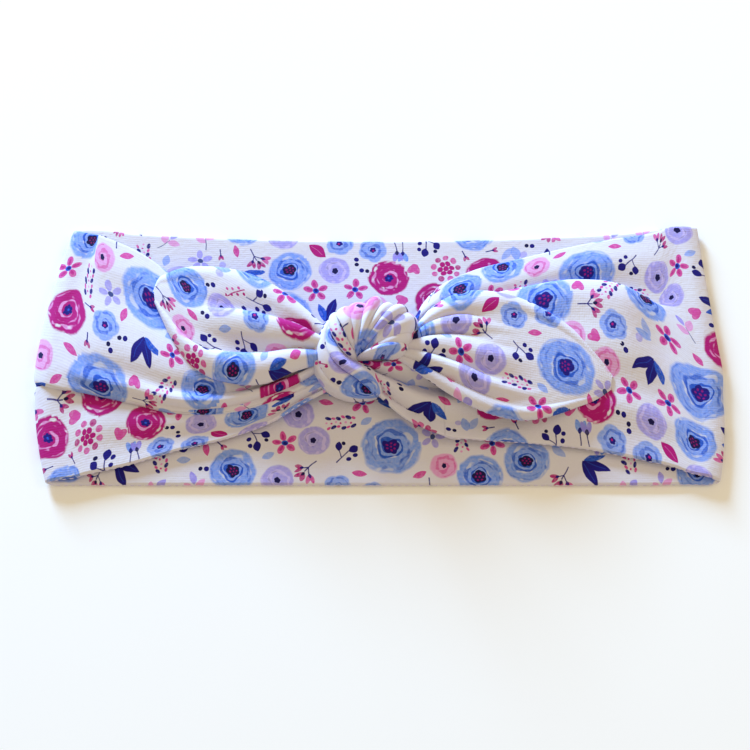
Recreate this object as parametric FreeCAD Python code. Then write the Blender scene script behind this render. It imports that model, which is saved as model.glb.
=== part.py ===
"""Knotted jersey headband, lying flat, as a FreeCAD model in millimetres.

The band is a flattened tube of printed jersey, joined end to end into a loop. Lying flat it is a
back half and a front half, one on the other, that meet in a fold at each side. A second, narrower
tube is tied round the gathered middle of the front half in a single knot, with two pointed ears.

Frame: origin on the underside, midway between the side folds and the long edges. +X runs along
the band, +Y across it, +Z up through the knot.
"""
import FreeCAD, Part
import math
import os

V = FreeCAD.Vector

# ---- the band -------------------------------------------------------------------------------
flat_length = 258.0        # from side fold to side fold
band_width = 104.0         # across the flattened tube
ply = 0.5                  # one layer of jersey
ply_space = 0.6            # air and seam allowance between the two plies of a half
half_gap = 0.6             # air between the back half and the front half at the side folds
panel_slit = 0.2           # slit between one panel and the next
fold_span = 62.0           # length of the straight part of a side fold
corner_inset = 9.0         # how far a corner is drawn in from the side fold
side_gap = 0.1             # between the inner ply and the folded long edge of the outer ply

# ---- how the loop opens ---------------------------------------------------------------------
panel_lift = 35.0          # degrees that each panel leans when the loop is open
knuckle_clearance = 3.0    # degrees left between the nested folds at that limit

# ---- the seams ------------------------------------------------------------------------------
allowance_width = 6.0      # turned-in cloth beside the long seam
thread_radius = 0.15
stitch_length = 2.4
stitch_pitch = 4.0
seam_inset = 1.3           # of a seam from the edge that it closes
seam_air = 0.05            # round the seam allowance
join_seam_width = 1.2      # of the seam that joins the band's ends inside the knot

# ---- the knot -------------------------------------------------------------------------------
knot_x = -3.0              # middle of the knot
knot_y = -4.0
bundle_half_width = 9.5    # the gathered band inside the knot
bundle_half_height = 4.6
wrap_thickness_side = 7.0  # of a wrap beside the bundle, along Y
wrap_thickness_top = 9.0   # of a wrap over the bundle
wrap_thickness_under = 2.4
wrap_width = 17.0          # of each wrap along the band
wrap_lean = -13.0          # degrees that the wraps lean across the band
wrap_gap = 0.4             # between the two wraps, and between a wrap and the bundle
wrap_round = 2.6           # rounding of the wraps' edges

# ---- the ears -------------------------------------------------------------------------------
left_ear_length = 65.0
left_ear_half_width = 23.0
left_ear_turn = 162.0      # degrees from +X to the way that the ear points
right_ear_length = 73.0
right_ear_half_width = 21.0
right_ear_turn = -8.0
ear_half_thickness = 4.2   # each creased ply fills one half of the ear
edge_height = 0.3          # of a ply along the ear's edge
ear_seam_gap = 0.4         # between an ear's two plies, for the thread
ear_gap = 0.8              # between an ear's root and what it comes out of
ear_tip_height = 5.5       # middle of an ear's tip above the underside of the front half

# ---- worked out from those ------------------------------------------------------------------
half_length = flat_length / 2
half_width = band_width / 2
tube_height = 2 * ply + ply_space
fold_radius = tube_height + half_gap / 2
fold_x = half_length - fold_radius
fold_z = fold_radius
front_z = tube_height + half_gap                # underside of the front half
edge_radius = tube_height / 2
bundle_z = front_z + wrap_thickness_under + wrap_gap + bundle_half_height
bundle_top = bundle_z + bundle_half_height
lean = math.radians(abs(wrap_lean))
wrap_half_width = bundle_half_width + wrap_thickness_side
wrap_step = (wrap_width + wrap_gap) / math.cos(lean)
wrap_reach = wrap_width / 2 * math.cos(lean) + wrap_half_width * math.sin(lean)
level_half = abs(knot_x) + wrap_step / 2 + wrap_reach + wrap_gap   # under and over the knot

# Each front panel: share of the way from the fold to the knot, then the upper and the lower edge
# as shares of the half width, the lift of its underside, and the height of its crown.
LEFT_PANEL = [
    (0.00, 1.00, -1.00, 0.0, 1.6),
    (0.26, 0.80, -0.96, 0.0, 2.0),
    (0.47, 0.56, -0.87, 0.0, 2.8),
    (0.72, 0.33, -0.70, 0.2, 4.4),
    (0.92, 0.18, -0.44, 1.2, 7.2),
]
RIGHT_PANEL = [
    (0.00, 1.00, -1.00, 0.0, 1.6),
    (0.25, 0.94, -0.87, 0.0, 2.0),
    (0.52, 0.83, -0.75, 0.0, 2.8),
    (0.73, 0.70, -0.69, 0.2, 4.2),
    (0.92, 0.44, -0.52, 1.2, 7.0),
]
# Each ear: shares of its length, of its half width and of its half thickness.
LEFT_EAR = [(0.00, 0.22, 0.60), (0.14, 0.43, 0.76), (0.37, 0.80, 0.95), (0.62, 1.00, 1.00),
            (0.82, 0.84, 0.86), (0.94, 0.48, 0.62), (1.00, 0.14, 0.38)]
RIGHT_EAR = [(0.00, 0.24, 0.60), (0.12, 0.46, 0.76), (0.33, 0.86, 0.95), (0.58, 1.00, 1.00),
             (0.80, 0.72, 0.81), (0.93, 0.34, 0.57), (1.00, 0.12, 0.38)]


# ---- helpers --------------------------------------------------------------------------------
def polygon_face(points):
    return Part.Face(Part.makePolygon(points + points[:1]))


def prism(points, along):
    return polygon_face(points).extrude(along)


def box(x0, x1, y0, y1, z0, z1):
    return Part.makeBox(x1 - x0, y1 - y0, z1 - z0, V(x0, y0, z0))


def stadium_bar(x0, x1, half, z0, z1):
    """A bar along X whose section is a slab with round long edges."""
    r = (z1 - z0) / 2
    z = (z0 + z1) / 2
    low, high = -half + r, half - r
    edges = [
        Part.LineSegment(V(x0, low, z0), V(x0, high, z0)).toShape(),
        Part.Arc(V(x0, high, z0), V(x0, half, z), V(x0, high, z1)).toShape(),
        Part.LineSegment(V(x0, high, z1), V(x0, low, z1)).toShape(),
        Part.Arc(V(x0, low, z1), V(x0, -half, z), V(x0, low, z0)).toShape(),
    ]
    return Part.Face(Part.Wire(edges)).extrude(V(x1 - x0, 0, 0))


def section(points):
    return Part.makePolygon(points + points[:1])


def ruled_solid(sections):
    """A closed solid with flat-sided strips between polygon sections."""
    return Part.makeLoft([section(s) for s in sections], True, True)


def mirrored(shape):
    return shape.mirror(V(0, 0, 0), V(1, 0, 0))


def save(name, shapes):
    solids = shapes if isinstance(shapes, list) else [shapes]
    for solid in solids:
        if not solid.isValid() or solid.Volume <= 0:
            raise ValueError(name + " is not a sound solid")
    whole = solids[0] if len(solids) == 1 else Part.makeCompound(solids)
    whole.exportStep("parts/" + name + ".step")


def thread_row(points):
    """Short stitches laid along a row of points, one in each pitch."""
    stitches = []
    for start, end in zip(points, points[1:]):
        run = end - start
        way = V(run).normalize()
        count = int(run.Length // stitch_pitch)
        for k in range(count):
            at = start + way * (stitch_pitch * (k + 0.5) - stitch_length / 2)
            stitches.append(Part.makeCylinder(thread_radius, stitch_length, at, way))
    return stitches


# ---- back half ------------------------------------------------------------------------------
def back_plies(x0, x1):
    """The outer ply wraps both long edges, and the inner ply closes the tube on top."""
    inner_half = half_width - edge_radius - side_gap
    inner = box(x0, x1, -inner_half, inner_half, tube_height - ply, tube_height)
    slot = inner_half + side_gap
    outer = stadium_bar(x0, x1, half_width, 0, tube_height)
    outer = outer.cut(stadium_bar(x0, x1, half_width - ply, ply, tube_height - ply))
    outer = outer.cut(box(x0, x1, -slot, slot, tube_height - ply, tube_height))
    return outer, inner


def corner_wedges(z0, z1):
    """What is cut away at the two left corners, where the side fold is drawn in."""
    height = V(0, 0, z1 - z0)
    wedges = []
    for way in (-1, 1):
        wedges.append(prism([
            V(-half_length, way * fold_span / 2, z0),
            V(-fold_x, way * fold_span / 2, z0),
            V(-fold_x + corner_inset, way * half_width, z0),
            V(-fold_x + corner_inset, way * (half_width + corner_inset), z0),
            V(-half_length, way * (half_width + corner_inset), z0),
        ], height))
    return wedges


def knuckle(r_in, r_out, start, turn):
    """Part of a tube about the left fold's axis, in degrees from +X towards +Z."""
    tube = Part.makeCylinder(r_out, fold_span, V(0, 0, 0), V(0, 0, 1), turn)
    tube = tube.cut(Part.makeCylinder(r_in, fold_span))
    tube.rotate(V(0, 0, 0), V(0, 0, 1), start)
    tube.rotate(V(0, 0, 0), V(1, 0, 0), 90)
    tube.translate(V(-fold_x, fold_span / 2, fold_z))
    return tube


def drawn_in(solid, z0, z1):
    for wedge in corner_wedges(z0, z1):
        solid = solid.cut(wedge)
    return solid


def build_back():
    edge = panel_slit / 2
    outer, inner = back_plies(-level_half + edge, level_half - edge)
    save("back_centre_outer_ply", outer)
    save("back_centre_inner_ply", inner)
    left_outer, left_inner = back_plies(-fold_x, -level_half - edge)
    left_outer = drawn_in(left_outer, 0, tube_height)
    left_inner = drawn_in(left_inner, 0, tube_height)
    # From straight down, round the outside, to where the lifted front half comes to rest.
    outer_turn = 180 - 2 * panel_lift - knuckle_clearance
    shell = knuckle(fold_radius - ply, fold_radius, 270 - outer_turn, outer_turn)
    left_outer = left_outer.fuse(shell).removeSplitter()
    save("back_left_outer_ply", left_outer)
    save("back_right_outer_ply", mirrored(left_outer))
    save("back_left_inner_ply", left_inner)
    save("back_right_inner_ply", mirrored(left_inner))


def seam_strip(x0, x1):
    y = -half_width + seam_inset + 2 * thread_radius
    return box(x0, x1, y, y + allowance_width, ply + seam_air, ply + ply_space - seam_air)


def build_back_seam():
    y, z = -half_width + seam_inset, ply + ply_space / 2
    end = fold_x - corner_inset - panel_slit
    spans = {
        "back_centre": (-level_half + panel_slit, level_half - panel_slit),
        "back_left": (-end, -level_half - 2 * panel_slit),
        "back_right": (level_half + 2 * panel_slit, end),
    }
    for name, (x0, x1) in spans.items():
        save(name + "_seam_allowance", seam_strip(x0, x1))
        save(name + "_seam_stitches", thread_row([V(x0, y, z), V(x1, y, z)]))


# ---- front half -----------------------------------------------------------------------------
def panel_stations(way, shape):
    """The panel's sections as (x, upper y, lower y, underside z, top z), fold to knot."""
    knot_end = way * (level_half + panel_slit / 2)
    stations = []
    for share, upper, lower, lift, crown in shape:
        x = way * fold_x + share * (knot_end - way * fold_x)
        stations.append((x, upper * half_width, lower * half_width, front_z + lift,
                         front_z + lift + crown))
    stations.append((knot_end, knot_y + bundle_half_width, knot_y - bundle_half_width,
                     bundle_z - bundle_half_height, bundle_top))
    return stations


def crown_section(x, y1, y0, z0, z1):
    """A flat-bottomed hump across the band."""
    wide = y1 - y0
    middle = (y0 + y1) / 2
    shoulder = min(0.08 * wide, 3.0)
    lift = max(0.55 * (z1 - z0), 0.7 * ply)
    return [V(x, y0, z0), V(x, y1, z0), V(x, y1, z0 + ply * 0.6),
            V(x, y1 - shoulder, z0 + lift), V(x, middle + 0.15 * wide, z1),
            V(x, middle - 0.15 * wide, z1), V(x, y0 + shoulder, z0 + lift),
            V(x, y0, z0 + ply * 0.6)]


def front_panel(way, shape):
    """The two plies of one front panel, and the line of its long seam."""
    outer, inner, seam = [], [], []
    for x, y1, y0, z0, z1 in panel_stations(way, shape):
        outer.append(crown_section(x, y1, y0, z0 + ply + ply_space, z1))
        inner.append([V(x, y0, z0), V(x, y1, z0), V(x, y1, z0 + ply), V(x, y0, z0 + ply)])
        if abs(x) < fold_x - corner_inset:
            seam.append(V(x, y0 + seam_inset, z0 + ply + ply_space / 2))
    return ruled_solid(outer), ruled_solid(inner), seam


def build_front_panel(name, way, shape):
    outer_ply, inner_ply, seam = front_panel(way, shape)
    if way > 0:
        outer_ply, inner_ply = mirrored(outer_ply), mirrored(inner_ply)
    outer_ply = drawn_in(outer_ply, front_z, bundle_top)
    inner_ply = drawn_in(inner_ply, front_z, bundle_top)
    inner_turn = 180 - 2 * panel_lift - knuckle_clearance
    curl = knuckle(half_gap / 2, half_gap / 2 + ply, 90, inner_turn)
    inner_ply = inner_ply.fuse(curl).removeSplitter()
    if way > 0:
        outer_ply, inner_ply = mirrored(outer_ply), mirrored(inner_ply)
    save(name + "_outer_ply", outer_ply)
    save(name + "_inner_ply", inner_ply)
    save(name + "_seam_stitches", thread_row(seam))


# ---- knot -----------------------------------------------------------------------------------
def oval_bar(half_y, half_z, x0, x1, y, z):
    oval = Part.Ellipse(V(0, 0, 0), max(half_y, half_z), min(half_y, half_z)).toShape()
    face = Part.Face(Part.Wire([oval]))
    if half_z > half_y:
        face.rotate(V(0, 0, 0), V(0, 0, 1), 90)
    face.rotate(V(0, 0, 0), V(1, 0, 0), 90)
    face.rotate(V(0, 0, 0), V(0, 0, 1), 90)
    face.translate(V(x0, y, z))
    return face.extrude(V(x1 - x0, 0, 0))


def bundle(x0, x1, grow=0.0):
    """The gathered band inside the knot: an oval bar along X."""
    return oval_bar(bundle_half_width + grow, bundle_half_height + grow, x0, x1, knot_y, bundle_z)


def wrap(centre_x):
    """One turn of the tie, an oval ring leaning across the band, with round edges."""
    high = bundle_top + wrap_thickness_top
    ring = oval_bar(wrap_half_width, (high - front_z) / 2, -wrap_width / 2, wrap_width / 2,
                    0, (high + front_z) / 2)
    ring = ring.makeFillet(wrap_round, ring.Edges)
    ring.rotate(V(0, 0, 0), V(0, 0, 1), wrap_lean)
    ring.translate(V(centre_x, knot_y, 0))
    return ring.cut(bundle(-half_length, half_length, wrap_gap))


def build_knot():
    end = level_half - panel_slit / 2
    seam = join_seam_width / 2
    save("gathered_left", bundle(-end, knot_x - seam))
    save("gathered_right", bundle(knot_x + seam, end))
    save("join_seam_allowance", bundle(knot_x - seam, knot_x + seam, -seam_inset))
    save("join_seam_stitches", join_stitches(seam))
    save("knot_left_wrap", wrap(knot_x - wrap_step / 2))
    save("knot_right_wrap", wrap(knot_x + wrap_step / 2))


def join_stitches(seam):
    """Stitches through the two ends of the band, in the ring between them round the allowance."""
    half = bundle_half_width - 2 * seam_inset
    z = bundle_z + bundle_half_height - seam_inset / 2
    stitches = []
    for y in (-half / 4, half / 4):
        for height in (z, 2 * bundle_z - z):
            at = V(knot_x - seam, knot_y + y, height)
            stitches.append(Part.makeCylinder(thread_radius, 2 * seam, at, V(1, 0, 0)))
    return stitches


# ---- ears -----------------------------------------------------------------------------------
def lens(station, length, half_width_here, side):
    """Half of a lens-shaped section at one distance along an ear: side +1 above, -1 below."""
    along = station[0] * length
    wide = station[1] * half_width_here
    thick = station[2] * ear_half_thickness
    edge = ear_seam_gap / 2
    steps = 8
    points = []
    for k in range(steps + 1):
        turn = math.pi * k / steps
        rise = edge_height + (thick - edge_height) * math.sin(turn) ** 0.8
        points.append(V(along, -wide * math.cos(turn), side * (edge + rise)))
    return points + [V(along, wide, side * edge), V(along, -wide, side * edge)]


def ear_placement(way, length, turn):
    """An ear starts beside the knot, above the gathered band, and slopes down to its tip."""
    root_half = LEFT_EAR[0][2] * ear_half_thickness
    root_z = bundle_top + ear_half_thickness + ear_gap
    out = wrap_step / 2 + wrap_width / 2 + root_half + ear_gap
    root = V(knot_x + way * out * math.cos(lean), knot_y - way * out * math.sin(lean), root_z)
    slope = math.degrees(math.asin((root_z - front_z - ear_tip_height) / length))
    turned = FreeCAD.Rotation(V(0, 0, 1), turn) * FreeCAD.Rotation(V(0, 1, 0), slope)
    return FreeCAD.Placement(root, turned)


def build_ear(name, shape, way, length, half, turn):
    place = ear_placement(way, length, turn)
    for side, label in ((1, "front"), (-1, "back")):
        solid = ruled_solid([lens(s, length, half, side) for s in shape])
        solid.Placement = place
        save(name + "_" + label + "_ply", solid)
    threads = []
    for edge in (-1, 1):
        line = [V(s[0] * length, edge * (s[1] * half - seam_inset), 0) for s in shape[1:-2]]
        threads += thread_row(line)
    for thread in threads:
        thread.Placement = place * thread.Placement
    save(name + "_seam_stitches", threads)
    across = place.Rotation.multVec(V(0, 1, 0))
    print(name, "hinge", [round(v, 4) for v in place.Base], "axis", [round(v, 5) for v in across])


def main():
    os.makedirs("parts", exist_ok=True)
    build_back()
    build_back_seam()
    build_front_panel("front_left", -1, LEFT_PANEL)
    build_front_panel("front_right", 1, RIGHT_PANEL)
    build_knot()
    build_ear("left_ear", LEFT_EAR, -1, left_ear_length, left_ear_half_width, left_ear_turn)
    build_ear("right_ear", RIGHT_EAR, 1, right_ear_length, right_ear_half_width, right_ear_turn)
    print("hinges at x", round(level_half, 4), "z", tube_height, front_z,
          "side folds at x", fold_x, "z", fold_z)


main()
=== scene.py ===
"""Knotted jersey headband: printed cloth, knot and ears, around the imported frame.

Laid out as an add-on that is run as a script. Shapes are worked out in millimetres and made in metres.
"""
import functools
import math
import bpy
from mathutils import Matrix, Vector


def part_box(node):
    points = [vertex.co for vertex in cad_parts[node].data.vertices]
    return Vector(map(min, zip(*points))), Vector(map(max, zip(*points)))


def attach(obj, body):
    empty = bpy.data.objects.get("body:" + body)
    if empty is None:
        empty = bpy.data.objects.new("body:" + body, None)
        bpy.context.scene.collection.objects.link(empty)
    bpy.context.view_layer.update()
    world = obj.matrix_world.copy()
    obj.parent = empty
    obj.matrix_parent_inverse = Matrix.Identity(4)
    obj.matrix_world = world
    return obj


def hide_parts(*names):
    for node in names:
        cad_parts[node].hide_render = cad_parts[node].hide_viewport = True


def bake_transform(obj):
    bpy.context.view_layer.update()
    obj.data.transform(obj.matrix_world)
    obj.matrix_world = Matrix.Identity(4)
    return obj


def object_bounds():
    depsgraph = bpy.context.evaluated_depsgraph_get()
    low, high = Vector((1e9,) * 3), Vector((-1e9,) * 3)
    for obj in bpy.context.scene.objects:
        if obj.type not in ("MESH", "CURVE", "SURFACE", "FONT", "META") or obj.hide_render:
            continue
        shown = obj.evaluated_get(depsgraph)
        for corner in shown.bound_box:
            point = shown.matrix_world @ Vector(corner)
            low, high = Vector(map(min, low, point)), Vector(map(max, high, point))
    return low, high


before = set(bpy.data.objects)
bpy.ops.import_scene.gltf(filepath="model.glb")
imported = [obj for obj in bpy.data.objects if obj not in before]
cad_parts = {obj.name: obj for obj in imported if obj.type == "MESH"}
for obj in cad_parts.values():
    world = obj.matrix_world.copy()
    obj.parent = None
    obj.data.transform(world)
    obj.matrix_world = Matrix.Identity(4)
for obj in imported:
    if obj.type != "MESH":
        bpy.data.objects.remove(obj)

from types import SimpleNamespace

import bpy
import numpy as np
from bpy.props import FloatProperty, IntProperty, PointerProperty, StringProperty
from mathutils import Vector

CAD_BOX = [list(corner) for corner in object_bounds()]

bl_info = {
    "name": "Knotted headband",
    "version": (1, 0, 0),
    "blender": (4, 5, 0),
    "location": "View3D > Sidebar > Headband",
    "description": "Makes a knotted jersey headband with a floral print, lying flat",
    "category": "Add Mesh",
}

MM = 0.001
BAND_LOW, BAND_HIGH = (Vector(corner) for corner in CAD_BOX)
BAND_WIDTH = (BAND_HIGH.y - BAND_LOW.y) / MM          # 104 mm across the flattened tube
HALF_WIDTH = BAND_WIDTH / 2
BACK_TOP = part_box("back_centre_outer_ply")[1][2] / MM  # upper side of the back half
LOOP_GAP = 0.6                                         # air between the two halves
FRONT_UNDER = BACK_TOP + LOOP_GAP                      # underside of the front half


# ---- sizes and colours ----------------------------------------------------------------------
def length_property(name, description, default, low, high):
    return FloatProperty(name=name, description=description, default=default, min=low, max=high,
                         subtype="DISTANCE", unit="LENGTH")


class HeadbandSizes(bpy.types.PropertyGroup):
    """Sizes of the cloth, in metres"""
    half_thickness: length_property(
        "Half thickness", "Two plies of jersey with a little air between them", 0.0015, 0.0005, 0.004)
    ear_thickness: length_property(
        "Ear thickness", "Two plies of jersey, turned and pressed by hand", 0.0021, 0.0005, 0.006)
    mesh_step: length_property(
        "Mesh step", "Length of a face along the cloth", 0.00115, 0.0005, 0.004)
    repeat_along: length_property(
        "Repeat along", "Length of the print's repeat along the band", 0.172, 0.05, 0.6)
    repeat_across: length_property(
        "Repeat across", "Length of the print's repeat across the band", 0.104, 0.05, 0.6)
    wale_spacing: length_property(
        "Wale spacing", "Distance between the knit's ribs, drawn coarse enough to show",
        0.0009, 0.0002, 0.004)
    stitch_pitch: length_property(
        "Stitch pitch", "Distance from one stitch to the next", 0.0026, 0.001, 0.01)
    stitch_length: length_property(
        "Stitch length", "Length of thread that shows in each stitch", 0.0016, 0.0005, 0.006)
    thread_thickness: length_property(
        "Thread thickness", "Thickness of the thread, drawn coarse enough to show", 0.00045, 0.0001, 0.002)
    print_seed: IntProperty(
        name="Print seed", description="Sets where the flowers of the print fall", default=11, min=0)


def hex_property(name, description, default):
    return StringProperty(name=name, description=description, default=default)


class HeadbandColours(bpy.types.PropertyGroup):
    """Colours of the cloth and of the inks of its print, as sRGB hex"""
    ground: hex_property("Ground", "Undyed cloth between the flowers", "DCDBE2")
    sky: hex_property("Sky blue", "Wash of the big roses", "6A92EE")
    cobalt: hex_property("Cobalt", "Brush strokes of the big roses", "2554C4")
    navy: hex_property("Navy", "Leaves, stems and flower centres", "180E78")
    ink: hex_property("Ink", "Darkest dots", "100848")
    magenta: hex_property("Magenta", "Small roses, leaves and berries", "AE0F77")
    pink: hex_property("Pink", "Petals and buds", "CC4A9C")
    blush: hex_property("Blush", "Pale petals and leaves", "DC9AD2")
    lavender: hex_property("Lavender", "Poppies", "9186E8")
    lilac: hex_property("Lilac", "Palest petals", "C9BCF2")
    slate: hex_property("Slate", "Centres of the palest flowers", "404C86")
    thread: hex_property("Thread", "Sewing thread", "E9E6F0")
    floor: hex_property("Floor", "Plain pale floor", "FDFDFE")


def sizes():
    return bpy.context.scene.headband_sizes


def colour(name):
    return linear(getattr(bpy.context.scene.headband_colours, name))


def linear(code):
    """An sRGB hex colour as linear red, green, blue and alpha."""
    parts = [int(code[k:k + 2], 16) / 255 for k in (0, 2, 4)]
    return [c / 12.92 if c <= 0.04045 else ((c + 0.055) / 1.055) ** 2.4 for c in parts] + [1.0]


# ---- nodes ----------------------------------------------------------------------------------
MATH = "ShaderNodeMath"
VECTOR_MATH = "ShaderNodeVectorMath"
NOISE = "ShaderNodeTexNoise"
MAP_RANGE = "ShaderNodeMapRange"
MIX = "ShaderNodeMix"
COLOUR_A, COLOUR_B, MIXED_COLOUR = 6, 7, 2   # the colour sockets of a Mix node


def feed(tree, node, inputs):
    """Set a node's inputs, in order or by name, to plain values or from other nodes."""
    for key, value in (inputs if isinstance(inputs, dict) else dict(enumerate(inputs))).items():
        if isinstance(value, bpy.types.Node):
            value = value.outputs[0]
        if isinstance(value, bpy.types.NodeSocket):
            tree.links.new(value, node.inputs[key])
        else:
            node.inputs[key].default_value = value


def add(tree, kind, inputs=(), **settings):
    """Add a node with its settings, and feed its inputs."""
    node = tree.nodes.new(kind)
    for key, value in settings.items():
        setattr(node, key, value)
    feed(tree, node, inputs)
    return node


def new_group(name, numbers, others, kind="ShaderNodeTree", result=("Mask", "NodeSocketFloat")):
    """An empty node group, and its inputs: numbers with their defaults, and others with their kinds."""
    tree = bpy.data.node_groups.new(name, kind)
    for label, socket_kind in others.items():
        tree.interface.new_socket(label, in_out="INPUT", socket_type=socket_kind)
    for label, default in numbers.items():
        number = tree.interface.new_socket(label, in_out="INPUT", socket_type="NodeSocketFloat")
        number.default_value = default
    tree.interface.new_socket(result[0], in_out="OUTPUT", socket_type=result[1])
    return tree, add(tree, "NodeGroupInput").outputs


def new_material(name):
    material = bpy.data.materials.new(name)
    material.use_nodes = True
    return material, material.node_tree, material.node_tree.nodes["Principled BSDF"]


# ---- shapes of the print --------------------------------------------------------------------
PLACE = {"Vector": "NodeSocketVector"}       # each shape reads its place in a motif of radius 1


def make_petals():
    """A ring of rounded petals about the middle of a motif."""
    tree, give = new_group("Petals", dict(Count=5.0, Inner=0.2, Outer=1.0, Width=0.25, Turn=0.0), PLACE)
    xyz = add(tree, "ShaderNodeSeparateXYZ", [give["Vector"]]).outputs
    radius = add(tree, VECTOR_MATH, [give["Vector"]], operation="LENGTH").outputs["Value"]
    bearing = add(tree, MATH, [xyz["Y"], xyz["X"]], operation="ARCTAN2")
    angle = add(tree, MATH, [bearing, give["Turn"]], operation="ADD")
    turns = add(tree, MATH, [angle, math.tau], operation="DIVIDE")
    share = add(tree, MATH, [turns, give["Count"]], operation="MULTIPLY")
    inside = add(tree, MATH, [share], operation="FRACT")
    sector = add(tree, MATH, [inside, 0.5], operation="SUBTRACT")
    one_petal = add(tree, MATH, [math.tau, give["Count"]], operation="DIVIDE")
    local = add(tree, MATH, [sector, one_petal], operation="MULTIPLY")
    cosine = add(tree, MATH, [local], operation="COSINE")
    sine = add(tree, MATH, [local], operation="SINE")
    along = add(tree, MATH, [radius, cosine], operation="MULTIPLY")
    across = add(tree, MATH, [radius, sine], operation="MULTIPLY")
    total = add(tree, MATH, [give["Inner"], give["Outer"]], operation="ADD")
    middle = add(tree, MATH, [total, 0.5], operation="MULTIPLY")
    length = add(tree, MATH, [give["Outer"], give["Inner"]], operation="SUBTRACT")
    half = add(tree, MATH, [length, 0.5], operation="MULTIPLY")
    off = add(tree, MATH, [along, middle], operation="SUBTRACT")
    a = add(tree, MATH, [off, half], operation="DIVIDE")
    b = add(tree, MATH, [across, give["Width"]], operation="DIVIDE")
    a_squared = add(tree, MATH, [a, a], operation="MULTIPLY")
    b_squared = add(tree, MATH, [b, b], operation="MULTIPLY")
    both = add(tree, MATH, [a_squared, b_squared], operation="ADD")
    reach = add(tree, MATH, [both], operation="SQRT")
    edge = add(tree, MAP_RANGE, {"Value": reach, "From Min": 1.08, "From Max": 0.9})
    add(tree, "NodeGroupOutput", {"Mask": edge})


def own_axes(tree, give):
    """Distance along and across a stroke that starts at X, Y and runs at an angle of Turn."""
    xyz = add(tree, "ShaderNodeSeparateXYZ", [give["Vector"]]).outputs
    x = add(tree, MATH, [xyz["X"], give["X"]], operation="SUBTRACT")
    y = add(tree, MATH, [xyz["Y"], give["Y"]], operation="SUBTRACT")
    cosine = add(tree, MATH, [give["Turn"]], operation="COSINE")
    sine = add(tree, MATH, [give["Turn"]], operation="SINE")
    x_cosine = add(tree, MATH, [x, cosine], operation="MULTIPLY")
    y_sine = add(tree, MATH, [y, sine], operation="MULTIPLY")
    y_cosine = add(tree, MATH, [y, cosine], operation="MULTIPLY")
    x_sine = add(tree, MATH, [x, sine], operation="MULTIPLY")
    along = add(tree, MATH, [x_cosine, y_sine], operation="ADD")
    return along, add(tree, MATH, [y_cosine, x_sine], operation="SUBTRACT")


def make_blade():
    """One leaf, bud or dot: Point 1 is a pointed leaf, Point 0.5 an oval."""
    tree, give = new_group("Blade", dict(X=0.0, Y=0.0, Turn=0.0, Length=0.8, Width=0.2, Point=1.0), PLACE)
    along, across = own_axes(tree, give)
    twice = add(tree, MATH, [along, 2.0], operation="MULTIPLY")
    lengths = add(tree, MATH, [twice, give["Length"]], operation="DIVIDE")
    t = add(tree, MATH, [lengths, 1.0], operation="SUBTRACT")
    t_squared = add(tree, MATH, [t, t], operation="MULTIPLY")
    room = add(tree, MATH, [1.0, t_squared], operation="SUBTRACT", use_clamp=True)
    taper = add(tree, MATH, [room, give["Point"]], operation="POWER")
    half = add(tree, MATH, [give["Width"], taper], operation="MULTIPLY")
    away = add(tree, MATH, [across], operation="ABSOLUTE")
    inside = add(tree, MATH, [half, away], operation="SUBTRACT")
    edge = add(tree, MAP_RANGE, {"Value": inside, "From Min": -0.015, "From Max": 0.03})
    within = add(tree, MATH, [room, 0.001], operation="GREATER_THAN")
    mask = add(tree, MATH, [edge, within], operation="MULTIPLY")
    add(tree, "NodeGroupOutput", {"Mask": mask})


def make_stem():
    """A thin stroke of the brush from one point to another."""
    tree, give = new_group("Stem", dict(X=0.0, Y=0.0, Turn=0.0, Length=1.0, Width=0.04, Bend=0.0), PLACE)
    along, across = own_axes(tree, give)
    squared = add(tree, MATH, [along, along], operation="MULTIPLY")
    bow = add(tree, MATH, [squared, give["Bend"]], operation="MULTIPLY")
    off = add(tree, MATH, [across, bow], operation="SUBTRACT")
    away = add(tree, MATH, [off], operation="ABSOLUTE")
    inside = add(tree, MATH, [give["Width"], away], operation="SUBTRACT")
    line = add(tree, MAP_RANGE, {"Value": inside, "From Min": -0.02, "From Max": 0.02})
    started = add(tree, MATH, [along, 0.0], operation="GREATER_THAN")
    ended = add(tree, MATH, [along, give["Length"]], operation="LESS_THAN")
    between = add(tree, MATH, [started, ended], operation="MULTIPLY")
    mask = add(tree, MATH, [line, between], operation="MULTIPLY")
    add(tree, "NodeGroupOutput", {"Mask": mask})


def wavering(tree, place, by, scale, amount):
    """A place shifted a little by noise, as a hand-held brush strays."""
    wobble = add(tree, NOISE, {"Vector": by, "Scale": scale, "Detail": 0.5}).outputs["Color"]
    shift = add(tree, VECTOR_MATH, [wobble, (0.5, 0.5, 0.5)], operation="SUBTRACT")
    push = add(tree, VECTOR_MATH, {0: shift, "Scale": amount}, operation="SCALE")
    return add(tree, VECTOR_MATH, [place, push], operation="ADD")


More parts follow.
